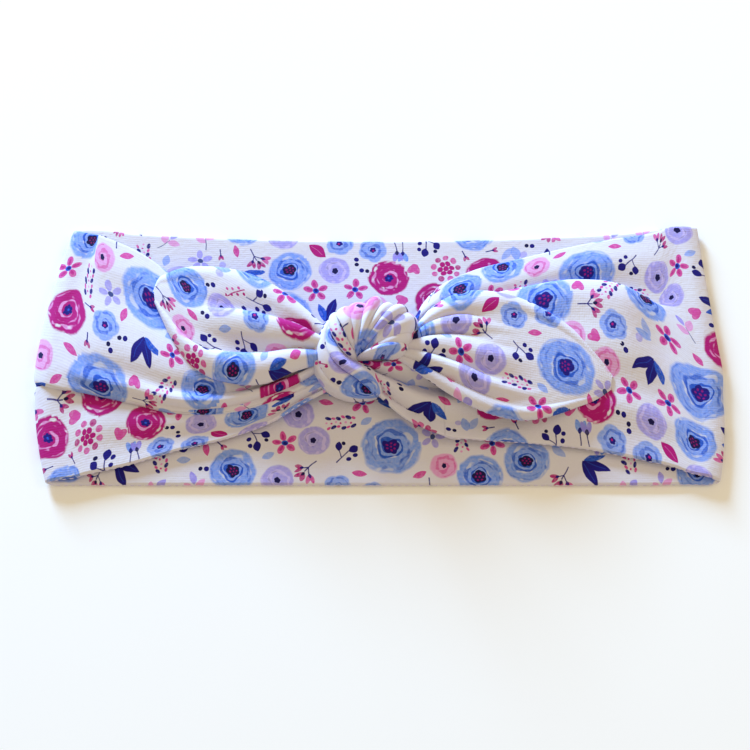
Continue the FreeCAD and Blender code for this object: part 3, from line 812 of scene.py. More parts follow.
# ---- the band -------------------------------------------------------------------------------
# Each side of the loop. lines are the fold lines' distances from the cloth's upper edge, in mm, and
# wave is how far each rises or sinks as the folds deepen. fold_at gives the lines on which the lobe
# turns under and turns down again, stack and swell the height of the layers and of the puffed lobe.
# rows run from inside the knot to the side fold: x of the upper and lower edge, then y of the upper
# edge, of the lobe's edge, of its tuck and of the lower edge, then the depth of the folds, the height
# of the lowest ply, and how much the lobe is puffed up. nose and edge_y place the side fold, and lap
# and lap_rise move each line where the pleat comes round it. creases are sharp: distance across the
# cloth, depth by the knot, and how far they run.
LEFT = SimpleNamespace(
    lines=np.array([0, 10, 20, 30, 40, 46, 50, 53.5, 57, 63.5, 70, 77, 87, 96, 104.0]),
    wave=np.array([0.1, 1.0, -0.9, 0.9, 0.2, -0.9, 0.9, -0.8, 0.3, 0, 0, -0.3, 0.9, -0.7, 0.1]),
    fold_at=[0, 50, 57, 63.5, 70, 77, 104],
    stack_at=[0, 20, 40, 50, 57, 63.5, 70, 77, 104],
    stack=np.array([0, 0.8, 1.9, 2.15, 1.5, 1, 0.5, 0, 0]),
    swell_at=[0, 12, 40, 57, 70, 84, 104],
    swell=[0, 0.7, 1.0, 0, 0, 0.6, 0],
    rows=[
        (-6, -4, 2.0, -5.0, -3.5, -9.0, 1.6, 5.6, 0.0),
        (-15, -13, 3.5, -8.0, -4.5, -12.5, 2.0, 5.6, 0.0),
        (-22, -20, 5.5, -12.0, -6.0, -17.0, 2.2, 5.6, 0.2),
        (-29, -28, 8.5, -16.5, -9.0, -21.5, 2.1, 5.2, 0.5),
        (-38, -38, 12.5, -20.7, -12.0, -27.8, 1.9, 4.5, 0.9),
        (-55, -54, 19.5, -25.4, -15.0, -34.2, 1.4, 3.7, 1.4),
        (-75, -74, 28.5, -25.4, -16.0, -39.2, 0.9, 3.2, 1.8),
        (-93, -92, 41.4, -20.6, -14.0, -44.8, 0.5, 3.05, 2.0),
        (-108, -107, 48.3, -17.2, -13.2, -48.3, 0.3, 3.0, 1.6),
    ],
    nose=np.array([118.2, 120.9, 123.2, 125.2, 126.8, 127.5, 128.0, 128.2, 128.3, 127.3, 127.6,
                   126.8, 125.0, 122.9, 120.7]),
    edge_y=np.array([51.7, 41.5, 31, 20.5, 10, 3, -1.5, -5.3, -9.0, -13.3, -17.5, -25.5, -35.5, -44, -51.5]),
    lap=np.array([-3.0, -1.6, -1.0, -1.5, -3.2, -4.5, -5.5, -5.8, -6.0, -0.4, 5.0, 4.5, 3.0, 2.0, 1.9]),
    lap_rise=np.array([0, 0.3, 0.6, 1.0, 1.5, 1.9, 2.1, 2.0, 1.6, 1.0, 0.4, 0.1, 0, 0, 0]),
    creases=[(20, 1.3, 60), (46, 1.3, 75), (53.5, 1.2, 65), (79, 1.1, 50), (96, 1.2, 60)],
)
RIGHT = SimpleNamespace(
    lines=np.array([0, 12, 24, 31, 37, 43, 50, 60, 70, 80, 88, 96, 104.0]),
    wave=np.array([0.1, 1.0, -0.6, 0, 0, 0, 0.4, -0.8, 0.9, -0.9, 0.9, -0.7, 0.2]),
    fold_at=[0, 24, 31, 37, 43, 50, 104],
    stack_at=[0, 24, 31, 37, 43, 50, 60, 80, 104],
    stack=np.array([0, 0, 0.5, 1, 1.5, 2.15, 2.1, 1.0, 0]),
    swell_at=[0, 12, 31, 43, 60, 90, 104],
    swell=[0, 0.5, 0, 0.4, 1.0, 0.7, 0],
    rows=[
        (-6, -8, 1.0, 0.0, -1.5, -9.0, 1.6, 7.6, 0.0),
        (5, -3, 3.5, 1.0, -1.0, -14.5, 2.3, 7.6, 0.0),
        (13, 1, 10.0, 3.5, 0.0, -19.5, 2.4, 6.8, 0.2),
        (18, 10, 19.0, 8.0, 3.0, -27.5, 2.2, 5.4, 0.6),
        (24.5, 24.5, 26.5, 13.5, 6.5, -34.0, 1.9, 4.6, 1.0),
        (36, 35.5, 32.5, 19.0, 10.0, -35.2, 1.5, 4.0, 1.4),
        (55, 54, 38.0, 24.0, 14.5, -36.3, 1.0, 3.5, 1.9),
        (75, 74, 43.2, 27.5, 19.5, -38.3, 0.8, 3.2, 2.2),
        (93, 92, 47.0, 25.5, 21.0, -41.7, 0.5, 3.05, 2.0),
        (108, 108, 49.5, 17.0, 19.0, -45.3, 0.3, 3.0, 1.4),
    ],
    nose=np.array([124.3, 125.0, 125.9, 126.5, 127.0, 127.5, 128.1, 129.0, 128.2, 127.9, 127.0,
                   125.8, 124.3]),
    edge_y=np.array([52.2, 40, 28, 21, 15, 9, 2, -8, -18, -28, -36, -44, -51.3]),
    lap=np.array([0, 0, 0, 0, 0, 0, 0, 0, 0.3, 0.7, 1.4, 2.4, 3.4]),
    lap_rise=np.zeros(13),
    creases=[(24, 1.0, 45), (60, 1.6, 60), (80, 1.7, 62), (96, 1.3, 60)],
)
KNOT_REACH = 24.0           # x past which the band is clear of the knot
PIVOT_ROW = 4               # the row of the right half that lies at the open pivot
BACK_MIDDLE_TOP = 47.0      # y of the back half's upper edge above the knot
STACK = 1.55                # height from one folded layer to the next
FULL_LAP = 3.0              # overlap at which the layers lie fully on one another
REST_CLEAR = 0.05           # air under the lowest cloth, in mm
CREASE_WIDTH = 1.4          # distance from a crease in which it fades, in mm
FOLD_PUFF = 0.9             # how far the front half is puffed up beside the side fold
BACK_ROWS = (96.0, 66.0, 33.0, 0.0)   # x of the rows of the back half
BACK_SLOPE_END = 118.0      # x at which its upper edge reaches the full width
EDGE_INSETS = (0.3, 0.4)    # how far its upper and lower edges lie inside the CAD's box
NOSE_STEPS = [-2.6, -1.5, -0.9, -0.45, 0, 0.45, 0.9, 1.5, 2.6]   # closer rows round the side fold


def sink_creases(surface, along, across, creases, floor):
    """Sink sharp valleys into the cloth, deepest by the knot and gone further out."""
    for line, depth, reach in creases:
        fade = np.clip(1 - along / reach, 0, 1)[:, None]
        surface[..., 2] -= depth * fade * np.exp(-np.abs(across - line) / CREASE_WIDTH)
        surface[..., 2] = np.where(fade > 0, np.maximum(surface[..., 2], floor), surface[..., 2])


def front_row(half, way, row):
    """One row of a front half, from the cloth's upper edge to its lower."""
    x_top, x_low, top, lobe, tuck, low, depth, base, puff = row
    x = x_top + (x_low - x_top) * (half.lines / BAND_WIDTH)
    first, second = (lobe, tuck) if way < 0 else (tuck, lobe)
    overlap = min(max((second - first) / FULL_LAP, 0.0), 1.0)
    y = np.interp(half.lines, half.fold_at,
                  [top, first + 4.5, first, (first + second) / 2, second, second - 5.5, low])
    z = base + np.interp(half.lines, half.stack_at, half.stack * STACK * overlap)
    swell = np.interp(half.lines, half.swell_at, half.swell)
    return np.stack([x, y, z + depth * half.wave + puff * swell], axis=1)


def band_half(way):
    """The middle surface of one half of the loop, from the knot round the side fold to the back."""
    half = LEFT if way < 0 else RIGHT
    lines, rows = half.lines, half.rows
    nose = way * half.nose
    thick = sizes().half_thickness / MM
    low = thick / 2 + REST_CLEAR
    high = FRONT_UNDER + thick / 2
    net = [front_row(half, way, row) for row in rows]
    ones = np.ones(len(lines))
    puffed = FOLD_PUFF * np.sin(np.pi * lines / BAND_WIDTH) ** 2
    # round the fold: distance in from it, height, and share of the pleat's lap
    for inset, z, share in ((9.0, high + puffed, 1.0), (3.0, high + 0.5 * puffed, 0.6),
                            (0.0, (low + high) / 2 * ones, 0.2), (2.4, low * ones, 0), (9.0, low * ones, 0)):
        net.append(np.stack([nose - way * inset, half.edge_y + share * half.lap,
                             z + share * half.lap_rise], axis=1))
    for x in BACK_ROWS:
        sag = (HALF_WIDTH - BACK_MIDDLE_TOP) * (1 - (x / BACK_SLOPE_END) ** 2)
        top = HALF_WIDTH - EDGE_INSETS[0] - sag
        y = top - lines * (top + HALF_WIDTH - EDGE_INSETS[1]) / BAND_WIDTH
        net.append(np.stack([way * x * ones, y, low * ones], axis=1))
    net = np.array(net)
    reach = np.linalg.norm(np.diff(net, axis=0), axis=2).mean(axis=1)
    knots = np.concatenate([[0], np.cumsum(reach)])
    along = steps(0, knots[-1], sizes().mesh_step / MM)
    nose_at = knots[len(rows) + 2]
    along = np.concatenate([along, nose_at + np.array(NOSE_STEPS)])
    along = np.array(sorted(set(np.round(along, 3))))
    across = steps(0, BAND_WIDTH, sizes().mesh_step / MM, (0.12, 0.35, 0.7))
    surface = eased_net(net, knots, lines, along, across)
    sink_creases(surface, along, across, half.creases, high)
    surface[..., 2] = np.maximum(surface[..., 2], low)
    cloth_u = way * (knots[-1] - along)
    cuts = [int(np.argmin(np.abs(along - knots[k]))) for k in (PIVOT_ROW, len(rows), len(rows) + 6)]
    return surface, cloth_u, across, cuts


def make_band(way):
    """One half of the loop as its front, its side fold and its back, and on the right the part by the knot.

    The loop's linkage is open where the right half meets the knot, so the cloth is cut there too.
    """
    side = "left" if way < 0 else "right"
    surface, along, across, (pivot_cut, front_cut, back_cut) = band_half(way)
    thick = sizes().half_thickness / MM
    front, back = "front_" + side, "back_" + side
    start = pivot_cut if way > 0 else 0
    spans = {front: (start, front_cut), "side_" + side: (front_cut, back_cut),
             back: (back_cut, len(along) - 1)}
    parts, seams = {}, {}
    for key, (first, last) in spans.items():
        piece = slab(key + "_cloth", surface, along, across, thick, way > 0, slice(first, last + 1))
        edge = surface[first:last + 1, -1]
        if key == front:
            edge = edge[np.abs(edge[:, 0]) > KNOT_REACH]
        seams[key] = stitches_along(key + "_thread", [edge])
        parts[key] = piece
    if way < 0:
        for piece in (parts[front], seams[front]):
            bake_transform(piece)
        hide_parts("gathered_left")
        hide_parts("back_centre_outer_ply", "back_centre_inner_ply",
                    "back_centre_seam_allowance")
        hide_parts("back_centre_seam_stitches")
    else:
        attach(parts[front], front)
        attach(seams[front], front)
        tail = tucked_tail(surface, along, pivot_cut)
        gathered = slab("gathered_right_cloth", tail[0], tail[1], across, thick, True)
        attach(gathered, "knot")
        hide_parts("gathered_right")
    fold = "side_" + side
    for pieces in (parts, seams):
        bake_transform(pieces[fold])
        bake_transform(pieces[back])
    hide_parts(front + "_outer_ply", front + "_inner_ply")
    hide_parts(front + "_seam_stitches")
    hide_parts(back + "_outer_ply", back + "_inner_ply", back + "_seam_allowance")
    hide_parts(back + "_seam_stitches")


TAIL_RUN = 6.0              # distance from the open pivot over which the tail sinks
TAIL_DIP = (1.1, 1.6)       # how far it lies under the next piece at the pivot, and how much more at its end


def tucked_tail(surface, along, cut):
    """The cloth on the knot's side of the open pivot, with a tail that dips under the next piece."""
    run = along[cut] - along
    last = int(np.argmin(np.abs(run - TAIL_RUN)))
    part, run = surface[:last + 1].copy(), run[:last + 1]
    way_in = np.clip(run / TAIL_RUN, 0, 1)[:, None]
    floor = FRONT_UNDER + sizes().half_thickness / MM / 2
    lowered = np.maximum(part[..., 2] - TAIL_DIP[0] - TAIL_DIP[1] * way_in, floor)
    beyond = np.clip((run + 0.6) / 1.8, 0, 1)[:, None]
    part[..., 2] += (np.minimum(lowered, part[..., 2]) - part[..., 2]) * beyond
    return part, along[:last + 1]


# ---- the ears -------------------------------------------------------------------------------
# Rulings across each ear from its root to its tip: x and y of the upper edge, x and y of the lower
# edge, the height of the ear's middle, and how far its creases have opened there.
LEFT_EAR_RULINGS = [
    (-13, 1.5, -14, -4.5, 11.5, 0.5), (-20, 6.0, -22, -8.0, 12.3, 0.85),
    (-30, 15.5, -31, -11.3, 12.6, 1.0), (-42, 25.0, -42, -15.8, 11.6, 1.0),
    (-54, 30.2, -54, -15.2, 10.5, 1.0), (-65, 32.0, -64, -11.5, 9.6, 1.0),
    (-73.5, 31.8, -71, -5.5, 8.8, 1.0), (-79.8, 29.6, -77, 4.0, 8.0, 0.8),
    (-83.6, 26.4, -81.5, 13.5, 7.2, 0.6), (-84.6, 22.8, -83.8, 18.5, 6.6, 0.4),
]
RIGHT_EAR_RULINGS = [
    (5, 1.0, 2, -4.5, 10.5, 0.5), (13, 4.5, 9, -7.0, 11.5, 0.85), (20, 13.0, 17.5, -13.7, 12.4, 1.0),
    (29, 19.4, 27, -20.4, 12.0, 1.0), (42, 21.2, 41, -27.3, 11.0, 1.0), (54, 18.6, 53, -29.3, 9.8, 1.0),
    (65, 12.8, 64, -27.3, 8.8, 1.0), (75, 4.6, 73, -23.8, 7.8, 0.8), (82.3, -4.6, 80.5, -20.4, 7.0, 0.6),
    (86.6, -11.8, 85.8, -16.4, 6.4, 0.4),
]
# Creases across each ear, from its upper edge to its lower: share of the width, rise, how far the
# cloth shifts towards the upper edge where one fold laps over the next, and the length at which the
# crease has died out, all in mm.
LEFT_EAR_CREASES = [
    (0.0, -0.4, 0.0, 99), (0.07, 0.5, 0.0, 99), (0.16, 0.8, 0.0, 60), (0.27, -0.3, 0.0, 60),
    (0.34, -1.2, -1.2, 62), (0.385, -0.2, -2.4, 60), (0.425, 1.7, 1.8, 60), (0.48, 2.5, 1.2, 64),
    (0.56, 1.6, 0.0, 64), (0.64, -0.6, 0.0, 56), (0.71, -2.4, -1.4, 52), (0.755, -1.6, -2.0, 52),
    (0.79, 0.9, 1.8, 56), (0.845, 2.2, 0.9, 90), (0.91, 1.7, 0.0, 95), (0.965, 0.4, 0.0, 95),
    (1.0, -0.9, 0.0, 95),
]
RIGHT_EAR_CREASES = [
    (0.0, -0.5, 0.0, 99), (0.06, 0.7, 0.0, 99), (0.13, 1.5, 0.0, 50), (0.19, 0.8, 0.0, 46),
    (0.23, -1.4, -0.8, 40), (0.265, 0.9, 0.8, 40), (0.31, 1.6, 0.0, 46), (0.36, 0.8, 0.0, 42),
    (0.405, -2.6, 0.0, 36), (0.45, 0.6, 0.0, 46), (0.53, 1.7, 0.0, 60), (0.62, 1.0, 0.0, 60),
    (0.69, -1.2, -1.2, 48), (0.72, -0.3, -1.6, 46), (0.75, 1.5, 1.4, 48), (0.80, 1.9, 0.5, 60),
    (0.85, -0.6, 0.0, 50), (0.882, -2.0, -0.6, 48), (0.91, 0.3, 0.8, 52), (0.95, 1.1, 0.0, 90),
    (1.0, -0.7, 0.0, 90),
]


LEFT_EAR_PRINT = (20, 40)   # where on the print each ear's root lies
RIGHT_EAR_PRINT = (110, 15)
PLY_JUMP = 8.0              # more than any one face spans across the cloth, in mm
PLY_PRINT_GAP = 20.0        # cloth between the prints of an ear's two plies
ROOT_CLEAR = 14.0           # distance from the root at which the seam comes out of the knot


def ear_surface(rulings, creases):
    """The middle surface of an ear: creases fan out of the knot and die out towards the tip."""
    rows = np.array(rulings, float)
    shares, rise, shift, reach = np.array(creases, float).T
    centre = (rows[:, 0:2] + rows[:, 2:4]) / 2
    knots = running_length(centre)
    net = []
    for run, (x0, y0, x1, y1, z, opened) in zip(knots, rows):
        left = np.clip((reach - run) / (0.45 * reach), 0, 1)
        depth = opened * left * left * (3 - 2 * left)
        x = x0 + (x1 - x0) * shares
        y = y0 + (y1 - y0) * shares + shift * depth * min(1.0, (y0 - y1) / 34)
        crown = 1.2 * np.sin(np.pi * shares) ** 0.6 * min(1.0, (y0 - y1) / 20)
        net.append(np.stack([x, y, z + rise * depth + crown], axis=1))
    net = np.array(net)
    step = sizes().mesh_step / MM
    along = steps(0, knots[-1], step)
    widest = max(row[1] - row[3] for row in rows)
    across = steps(0, 1, 0.8 * step / widest, (0.004, 0.012, 0.024))
    surface = eased_net(net, knots, shares, along, across)
    return surface, along, across


def make_ear(side, rulings, creases, offset):
    """One ear, with cloth coordinates that follow its own width so that the print isn't squeezed."""
    surface, along, across = ear_surface(rulings, creases)
    thick = sizes().ear_thickness / MM
    span = np.linalg.norm(np.diff(surface, axis=1), axis=2)
    run = np.concatenate([np.zeros((len(along), 1)), np.cumsum(span, axis=1)], axis=1)
    widest = run[:, -1].max()
    flip = side == "left"
    piece = slab(side + "_ear_cloth", surface, along, across * widest, thick, not flip)
    squeeze_print(piece, run, widest, offset, along)
    clear = int(np.argmax(along > ROOT_CLEAR))
    seam = stitches_along(side + "_ear_thread", [surface[clear:, 0], surface[clear:, -1]])
    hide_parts(side + "_ear_front_ply", side + "_ear_back_ply")
    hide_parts(side + "_ear_seam_stitches")
    for part in (piece, seam):
        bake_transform(part)
    return piece


def squeeze_print(piece, run, widest, offset, along):
    """Lay the print over an ear by distance from its middle line, on both plies."""
    mesh = piece.data
    ring = (len(mesh.vertices)) // len(along)
    columns = ring // 2 + 1
    vertex = np.empty(len(mesh.loops), int)
    mesh.loops.foreach_get("vertex_index", vertex)
    row, column = vertex // ring, vertex % ring
    upper = column < columns
    folded = np.where(upper, column, ring - column)
    place = run[row, folded] - run[row, -1] / 2
    across = np.where(upper, place, widest + PLY_PRINT_GAP - place)
    cloth = np.stack([along[row] + offset[0], across + offset[1]], axis=1)
    straddle(mesh, cloth)
    for name in ("cloth", "motif"):
        mesh.uv_layers.remove(mesh.uv_layers[name])
    mesh.materials.clear()
    print_on(mesh, cloth)


def straddle(mesh, cloth):
    """Where a face has corners on both plies, put them all on the ply of its lowest corner."""
    for start, total in zip(*face_corners(mesh)):
        part = cloth[start:start + total, 1]
        if part.max() - part.min() > PLY_JUMP:
            part[:] = np.where(np.abs(part - part.min()) < PLY_JUMP, part, part.min() + 1)


# ---- the knot -------------------------------------------------------------------------------
KNOT_PLY = 1.2              # two plies of cloth pulled tight, in mm
RING_STEP = 0.7             # distance from one ring of a roll to the next
END_ROUND = 2.5             # distance over which a roll's end is rounded
SQUARENESS = 0.85           # 1 is a round roll, and less is squarer
QUARTER_TURNS = 1.57        # a ring's way round is this times its width and height together


def strand(name, path, widths, heights, ridges, ridge_depth, offset, sides):
    """A closed roll of cloth along a path, with creases that run its length."""
    path = np.array(path, float)
    knots = running_length(path)
    at = np.linspace(0, knots[-1], int(knots[-1] / RING_STEP) + 2)
    line = eased(path, knots, at)
    wide, tall = eased(widths, knots, at), eased(heights, knots, at)
    way = unit(np.gradient(line, axis=0))
    up = np.array([0, 0, 1.0])
    side = unit(np.cross(way, np.repeat(up[None], len(at), axis=0)))
    lift = unit(np.cross(side, way))
    turn = np.linspace(0, math.tau, sides, endpoint=False)
    points = []
    end = np.minimum(np.minimum(at, at[-1] - at) / END_ROUND, 1)
    cap = np.sqrt(np.clip(1 - (1 - end) ** 2, 0.02, 1))
    for k in range(len(at)):
        crease = 1 + ridge_depth * (np.abs(np.cos(ridges * turn / 2 + 0.4 * at[k] / knots[-1])) ** 0.7 - 0.6)
        c = np.sign(np.cos(turn)) * np.abs(np.cos(turn)) ** SQUARENESS
        s = np.sign(np.sin(turn)) * np.abs(np.sin(turn)) ** SQUARENESS
        ring = (line[k] + (c * crease * wide[k] / 2 * cap[k])[:, None] * side[k]
                + (s * crease * tall[k] / 2 * cap[k])[:, None] * lift[k])
        points.append(ring)
    points = np.array(points)
    around = (wide.mean() + tall.mean()) * QUARTER_TURNS
    faces, cloth = [], []
    for k in range(len(at) - 1):
        for j in range(sides):
            n = (j + 1) % sides
            faces.append([k * sides + j, k * sides + n, (k + 1) * sides + n, (k + 1) * sides + j])
            v0, v1 = around * j / sides, around * (j + 1) / sides
            cloth += [(at[k], v0), (at[k], v1), (at[k + 1], v1), (at[k + 1], v0)]
    first = list(range(sides))[::-1]
    final = [(len(at) - 1) * sides + j for j in range(sides)]
    for loop, u in ((first, 0.0), (final, at[-1])):
        faces.append(loop)
        cloth += [(u, 0.5)] * sides
    cloth = np.array(cloth, float) + np.array(offset)
    return cloth_object(name, points.reshape(-1, 3), faces, cloth)


# The fan of the knot, as degrees from +X round the pit: where each pleat ends, and how high it is.
FAN_VALLEYS = [
    (117, 1.3), (98, 1.7), (79, 3.0), (64, 2.4), (54, 2.7), (43, 1.5), (23, 0.9), (13, 1.9), (-1, 0.0),
]
FAN_REACH = [
    (117, 18.0), (98, 20.0), (80, 21.0), (72, 23.0), (64, 22.5), (50, 25.0), (33, 25.8), (14, 19.6),
    (-1, 14.6),
]
FAN_PIT = (-8.0, -6.3)
FAN_FOOT = 5.2              # height to which its near edge is rolled under
FAN_COLUMNS = 190           # places across the pleats
ROLL_COLUMNS = 30           # places across the edge that is rolled under
ROLL_DEGREES = (3.0, 10.0)  # how far that edge swings out, and how far it comes back
ROLL_DROP = 0.85            # share of its height that it sinks
ROLL_IN = 0.15              # share of its reach that it draws in
FAN_SHARE = 22.0            # mm of a typical pleat's reach
FAN_WIDTH = 34.0            # cloth across the pleats
WRAP_STEP = 0.6             # length of a face along the wraps
# Rise of the fan out of the pit, over the top and down behind: share of its reach, and height.
FAN_PROFILE = [
    (0.03, 6.5), (0.09, 10.5), (0.22, 15.0), (0.42, 18.6), (0.63, 19.8), (0.82, 18.4), (0.95, 15.0),
    (1.0, 11.0), (0.96, 7.6), (0.86, 5.2),
]


def fan_surface():
    """The pleated wrap: folds of cloth that run out of a pit and over the knot."""
    profile = np.array(FAN_PROFILE, float)
    bends = profile * np.array([FAN_SHARE, 1.0])
    knots = running_length(bends)
    along = steps(0, knots[-1], WRAP_STEP)
    shape = eased(profile, knots, along)
    valleys = np.array([v[0] for v in FAN_VALLEYS], float)
    heights = [v[1] for v in FAN_VALLEYS]
    under = np.linspace(0, 1, ROLL_COLUMNS + 1)[1:]
    swing = -ROLL_DEGREES[0] * np.sin(math.pi * under) + ROLL_DEGREES[1] * under
    degrees = np.concatenate([np.linspace(valleys[0], valleys[-1], FAN_COLUMNS), valleys[-1] + swing])
    drop = np.concatenate([np.zeros(FAN_COLUMNS), ROLL_DROP * under])
    reach = np.array(FAN_REACH[::-1], float)
    radius = eased(reach[:, 1:], reach[:, 0], np.maximum(degrees, valleys[-1])[::-1])[::-1, 0]
    radius[FAN_COLUMNS:] = radius[FAN_COLUMNS - 1] * (1 - ROLL_IN * under)
    surface = np.zeros((len(along), len(degrees), 3))
    for j, angle in enumerate(degrees):
        k = min(int(np.searchsorted(-valleys, -angle, side="right")) - 1, len(valleys) - 2)
        inside = (valleys[k] - angle) / (valleys[k] - valleys[k + 1])
        bulge = heights[k] * math.sin(math.pi * min(max(inside, 0), 1)) ** 0.6 if drop[j] == 0 else 0.0
        deep = np.interp(along / knots[-1], [0, 0.12, 0.35, 0.65, 0.85, 1], [0.2, 0.7, 1.0, 0.9, 0.55, 0.2])
        r = shape[:, 0] * radius[j]
        slope = np.gradient(shape[:, 1], along)
        out = np.gradient(shape[:, 0] * radius[j], along)
        length = np.hypot(slope, out)
        r = r - bulge * deep * slope / length
        z = shape[:, 1] + bulge * deep * out / length
        z = FAN_FOOT + (z - FAN_FOOT) * (1 - drop[j])
        a = math.radians(angle)
        surface[:, j] = np.stack([FAN_PIT[0] + r * math.cos(a), FAN_PIT[1] + r * math.sin(a), z], axis=1)
    return surface, along, np.linspace(0, FAN_WIDTH, len(degrees))


# Stations along the smooth wrap, from under the fan down the left side and round to the front: outer
# edge x, y, z, inner edge x, y, z, height of its crown, and how far its inner flap stands over the rest.
CRESCENT = [
    (-13.5, 11.5, 7.5, -13.0, 8.0, 9.5, 10.5, 0.0), (-17.6, 9.6, 8.0, -15.6, 6.4, 12.2, 13.4, 0.0),
    (-22.3, 2.6, 8.0, -16.2, 0.8, 13.4, 16.0, 0.0), (-24.0, -4.4, 8.0, -13.6, -3.4, 13.0, 17.0, 0.2),
    (-23.2, -10.2, 7.8, -10.4, -6.6, 11.6, 16.8, 0.5), (-20.4, -15.2, 7.2, -6.8, -8.2, 10.8, 15.8, 0.9),
    (-15.6, -18.6, 6.4, -2.4, -10.4, 10.4, 14.2, 1.1), (-9.6, -20.0, 5.4, 0.2, -14.4, 8.6, 11.6, 1.0),
    (-4.0, -19.6, 4.2, 1.2, -17.8, 5.8, 7.8, 0.6), (-0.6, -18.4, 3.4, 1.0, -18.0, 4.2, 4.8, 0.0),
]
# Across the smooth wrap: share of the way from the outer edge to the inner, share of the rise to the
# crown, and share of the flap's step. A narrow band runs beside the outer edge.
CRESCENT_LINES = [
    (0.10, -1.0, 0.0), (0.015, -0.45, 0.0), (0.0, 0.0, 0.0), (0.035, 0.42, 0.0), (0.10, 0.68, 0.0),
    (0.155, 0.66, 0.0), (0.20, 0.80, 0.0), (0.32, 0.93, 0.0), (0.45, 0.96, 0.0), (0.55, 0.88, -0.2),
    (0.57, 0.92, 0.5), (0.555, 0.98, 1.2), (0.63, 1.0, 1.5), (0.72, 0.95, 1.3), (0.82, 0.78, 1.0),
    (0.92, 0.40, 0.8), (1.0, 0.0, 0.4), (0.97, -0.5, 0.0), (0.88, -0.9, 0.0),
]


TUCK_DEPTH = 4.5            # depth to which the smooth wrap's edges are tucked under
TUCK_CLEAR = 0.7            # least height of that tuck over the front half's underside


def crescent_surface():
    """The smooth wrap as a sheet bent over the knot, its edges tucked under."""
    net = []
    for x0, y0, z0, x1, y1, z1, crown, flap in CRESCENT:
        outer, inner = np.array([x0, y0, z0]), np.array([x1, y1, z1])
        line = []
        for share, rise, step in CRESCENT_LINES:
            point = outer + (inner - outer) * share
            foot = point[2]
            if rise < 0:
                point[2] = max(foot + TUCK_DEPTH * rise, FRONT_UNDER + TUCK_CLEAR)
            else:
                point[2] = foot + (crown - foot) * rise + flap * step
            line.append(point)
        net.append(line)
    net = np.array(net)
    knots = running_length(net[:, 8])
    lines = running_length(net[4])
    along = steps(0, knots[-1], WRAP_STEP)
    across = steps(0, lines[-1], 0.5, (0.3, 0.8))
    surface = eased_net(net, knots, lines, along, across)
    return surface, along, across


CRESCENT_PRINT = (40, 12)   # where on the print the smooth wrap starts, so that it isn't the fan's
# Each roll of cloth: path, widths, heights, number and depth of its creases, place on the print, sides.
ROLLED_EDGE = (
    [(-14.4, 11.0, 10.5), (-16.0, 8.0, 15.2), (-15.2, 3.0, 17.3), (-12.6, -1.8, 16.6), (-9.9, -5.2, 13.4),
     (-8.4, -7.2, 8.5)],
    [3.6, 4.4, 4.6, 4.4, 3.8, 2.6], [3.4, 4.2, 4.4, 4.2, 3.6, 2.8], 2, 0.05, (95, 60), 28)
GATHERED_CORE = (
    [(-20, -4, 5.0), (-14, -4, 4.8), (-4, -5, 4.8), (4, -6, 4.8), (9, -7, 5.0)],
    [12, 17, 20, 18, 12], [4.4, 4.8, 4.8, 4.8, 4.0], 9, 0.1, (130, 30), 48)


def make_knot():
    """The two wraps of the knot, the rolled edge between them, and the gathered cloth inside."""
    surface, along, across = fan_surface()
    fan = slab("knot_pleated_wrap", surface, along, across, KNOT_PLY, True)
    surface, along, across = crescent_surface()
    along, across = along + CRESCENT_PRINT[0], across + CRESCENT_PRINT[1]
    crescent = slab("knot_smooth_wrap", surface, along, across, KNOT_PLY)
    roll = strand("knot_rolled_edge", *ROLLED_EDGE)
    core = strand("knot_gathered_core", *GATHERED_CORE)
    for piece in (fan, crescent, roll, core):
        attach(piece, "knot")
    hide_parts("knot_right_wrap")
    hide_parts("knot_left_wrap", "join_seam_allowance", "join_seam_stitches")


# ---- stage ----------------------------------------------------------------------------------
def aim(obj, at):
    obj.rotation_euler = (Vector(at) - obj.location).to_track_quat("-Z", "Y").to_euler()


def area_light(name, at, target, size, power, tint):
    data = bpy.data.lights.new(name, "AREA")
    data.shape = "SQUARE"
    data.size = size
    data.energy = power
    data.color = tint
    lamp = in_scene(name, data)
    lamp.location = at
    aim(lamp, target)


FLOOR_REACH = 3.0           # metres from the middle of the floor to each side
FLOOR_TOP = -0.0001         # a hair below the cloth
CAMERA_TARGET = Vector((-0.0011, -0.0084, 0.0))
CAMERA_DISTANCE = 0.5
CAMERA_ELEVATION = math.radians(70.0)
# Each light: name, place, what it faces, width in metres, power in watts and tint.
LIGHTS = (
    ("key", (-1.0, 2.1, 0.62), (0, 0, 0), 0.65, 148.0, (0.40, 0.66, 1.0)),
    ("fill", (0.95, 0.35, 0.75), (0.03, 0, 0), 0.35, 1.5, (1.0, 0.88, 0.70)),
)
WORLD_TINT = (1.0, 0.84, 0.58, 1.0)
WORLD_STRENGTH = 0.66


def white_board():
    """Matte white board: almost no gloss, and a grain too faint to draw the eye from the cloth."""
    material, tree, shader = new_material("matte_white_board")
    grain = add(tree, NOISE, {"Scale": 40.0, "Detail": 2.0}).outputs["Fac"]
    faint = add(tree, MATH, [grain, 0.1], operation="MULTIPLY")
    tone = add(tree, MIX, {"Factor": faint, COLOUR_A: colour("floor"), COLOUR_B: colour("ground")},
               data_type="RGBA")
    feed(tree, shader, {
        "Base Color": tone.outputs[MIXED_COLOUR], "Roughness": 0.9, "Specular IOR Level": 0.1})
    return material


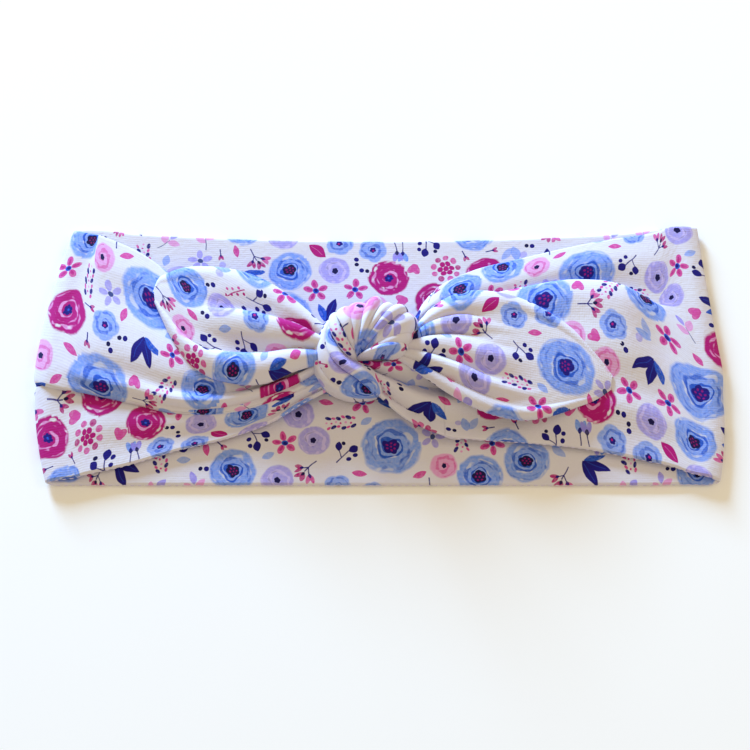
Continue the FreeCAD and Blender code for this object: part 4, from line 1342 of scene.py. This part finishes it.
def make_stage():
    """A pale floor, a cool key light from beyond the band, a weak warm fill from the right, and a camera."""
    mesh = bpy.data.meshes.new("floor")
    corners = [(x * FLOOR_REACH, y * FLOOR_REACH, FLOOR_TOP) for x, y in ((-1, -1), (1, -1), (1, 1), (-1, 1))]
    mesh.from_pydata(corners, [], [(0, 1, 2, 3)])
    floor = in_scene("floor", mesh)
    mesh.materials.append(white_board())
    world = bpy.data.worlds.new("studio")
    world.use_nodes = True
    background = world.node_tree.nodes["Background"]
    feed(world.node_tree, background, {"Color": WORLD_TINT, "Strength": WORLD_STRENGTH})
    bpy.context.scene.world = world
    for light in LIGHTS:
        area_light(*light)
    data = bpy.data.cameras.new("camera")
    data.sensor_width = 36.0
    data.lens = 63.6
    data.clip_start = 0.01
    camera = in_scene("camera", data)
    towards = Vector((0, -math.cos(CAMERA_ELEVATION), math.sin(CAMERA_ELEVATION)))
    camera.location = CAMERA_TARGET + CAMERA_DISTANCE * towards
    aim(camera, CAMERA_TARGET)
    bpy.context.scene.camera = camera
    bpy.context.scene.view_settings.view_transform = "Standard"


# ---- operators ------------------------------------------------------------------------------
class HEADBAND_OT_stage(bpy.types.Operator):
    """Set up the floor, the lights and the camera"""
    bl_idname = "headband.stage"
    bl_label = "Stage"

    def execute(self, context):
        make_stage()
        return {"FINISHED"}


class HEADBAND_OT_band(bpy.types.Operator):
    """Make the looped band: its front half, side folds and back half"""
    bl_idname = "headband.band"
    bl_label = "Band"

    def execute(self, context):
        for way in (-1, 1):
            make_band(way)
        return {"FINISHED"}


class HEADBAND_OT_ears(bpy.types.Operator):
    """Make the two ears of the tie"""
    bl_idname = "headband.ears"
    bl_label = "Ears"

    def execute(self, context):
        make_ear("left", LEFT_EAR_RULINGS, LEFT_EAR_CREASES, LEFT_EAR_PRINT)
        make_ear("right", RIGHT_EAR_RULINGS, RIGHT_EAR_CREASES, RIGHT_EAR_PRINT)
        return {"FINISHED"}


class HEADBAND_OT_knot(bpy.types.Operator):
    """Make the wraps of the knot and the gathered cloth inside it"""
    bl_idname = "headband.knot"
    bl_label = "Knot"

    def execute(self, context):
        make_knot()
        return {"FINISHED"}


OPERATORS = (HEADBAND_OT_stage, HEADBAND_OT_band, HEADBAND_OT_knot, HEADBAND_OT_ears)


class HEADBAND_PT_panel(bpy.types.Panel):
    """Sizes, colours and pieces of the headband"""
    bl_idname = "HEADBAND_PT_panel"
    bl_label = "Knotted headband"
    bl_space_type = "VIEW_3D"
    bl_region_type = "UI"
    bl_category = "Headband"

    def draw(self, context):
        for group in (context.scene.headband_sizes, context.scene.headband_colours):
            for name in group.bl_rna.properties.keys():
                if name not in ("rna_type", "name"):
                    self.layout.prop(group, name)
        for operator in OPERATORS:
            self.layout.operator(operator.bl_idname)


CLASSES = (HeadbandSizes, HeadbandColours) + OPERATORS + (HEADBAND_PT_panel,)


def register():
    for item in CLASSES:
        bpy.utils.register_class(item)
    bpy.types.Scene.headband_sizes = PointerProperty(type=HeadbandSizes)
    bpy.types.Scene.headband_colours = PointerProperty(type=HeadbandColours)


def unregister():
    del bpy.types.Scene.headband_sizes
    del bpy.types.Scene.headband_colours
    for item in reversed(CLASSES):
        bpy.utils.unregister_class(item)


def main():
    register()
    bpy.ops.headband.stage()
    bpy.ops.headband.band()
    bpy.ops.headband.knot()
    bpy.ops.headband.ears()


if __name__ == "__main__":
    main()
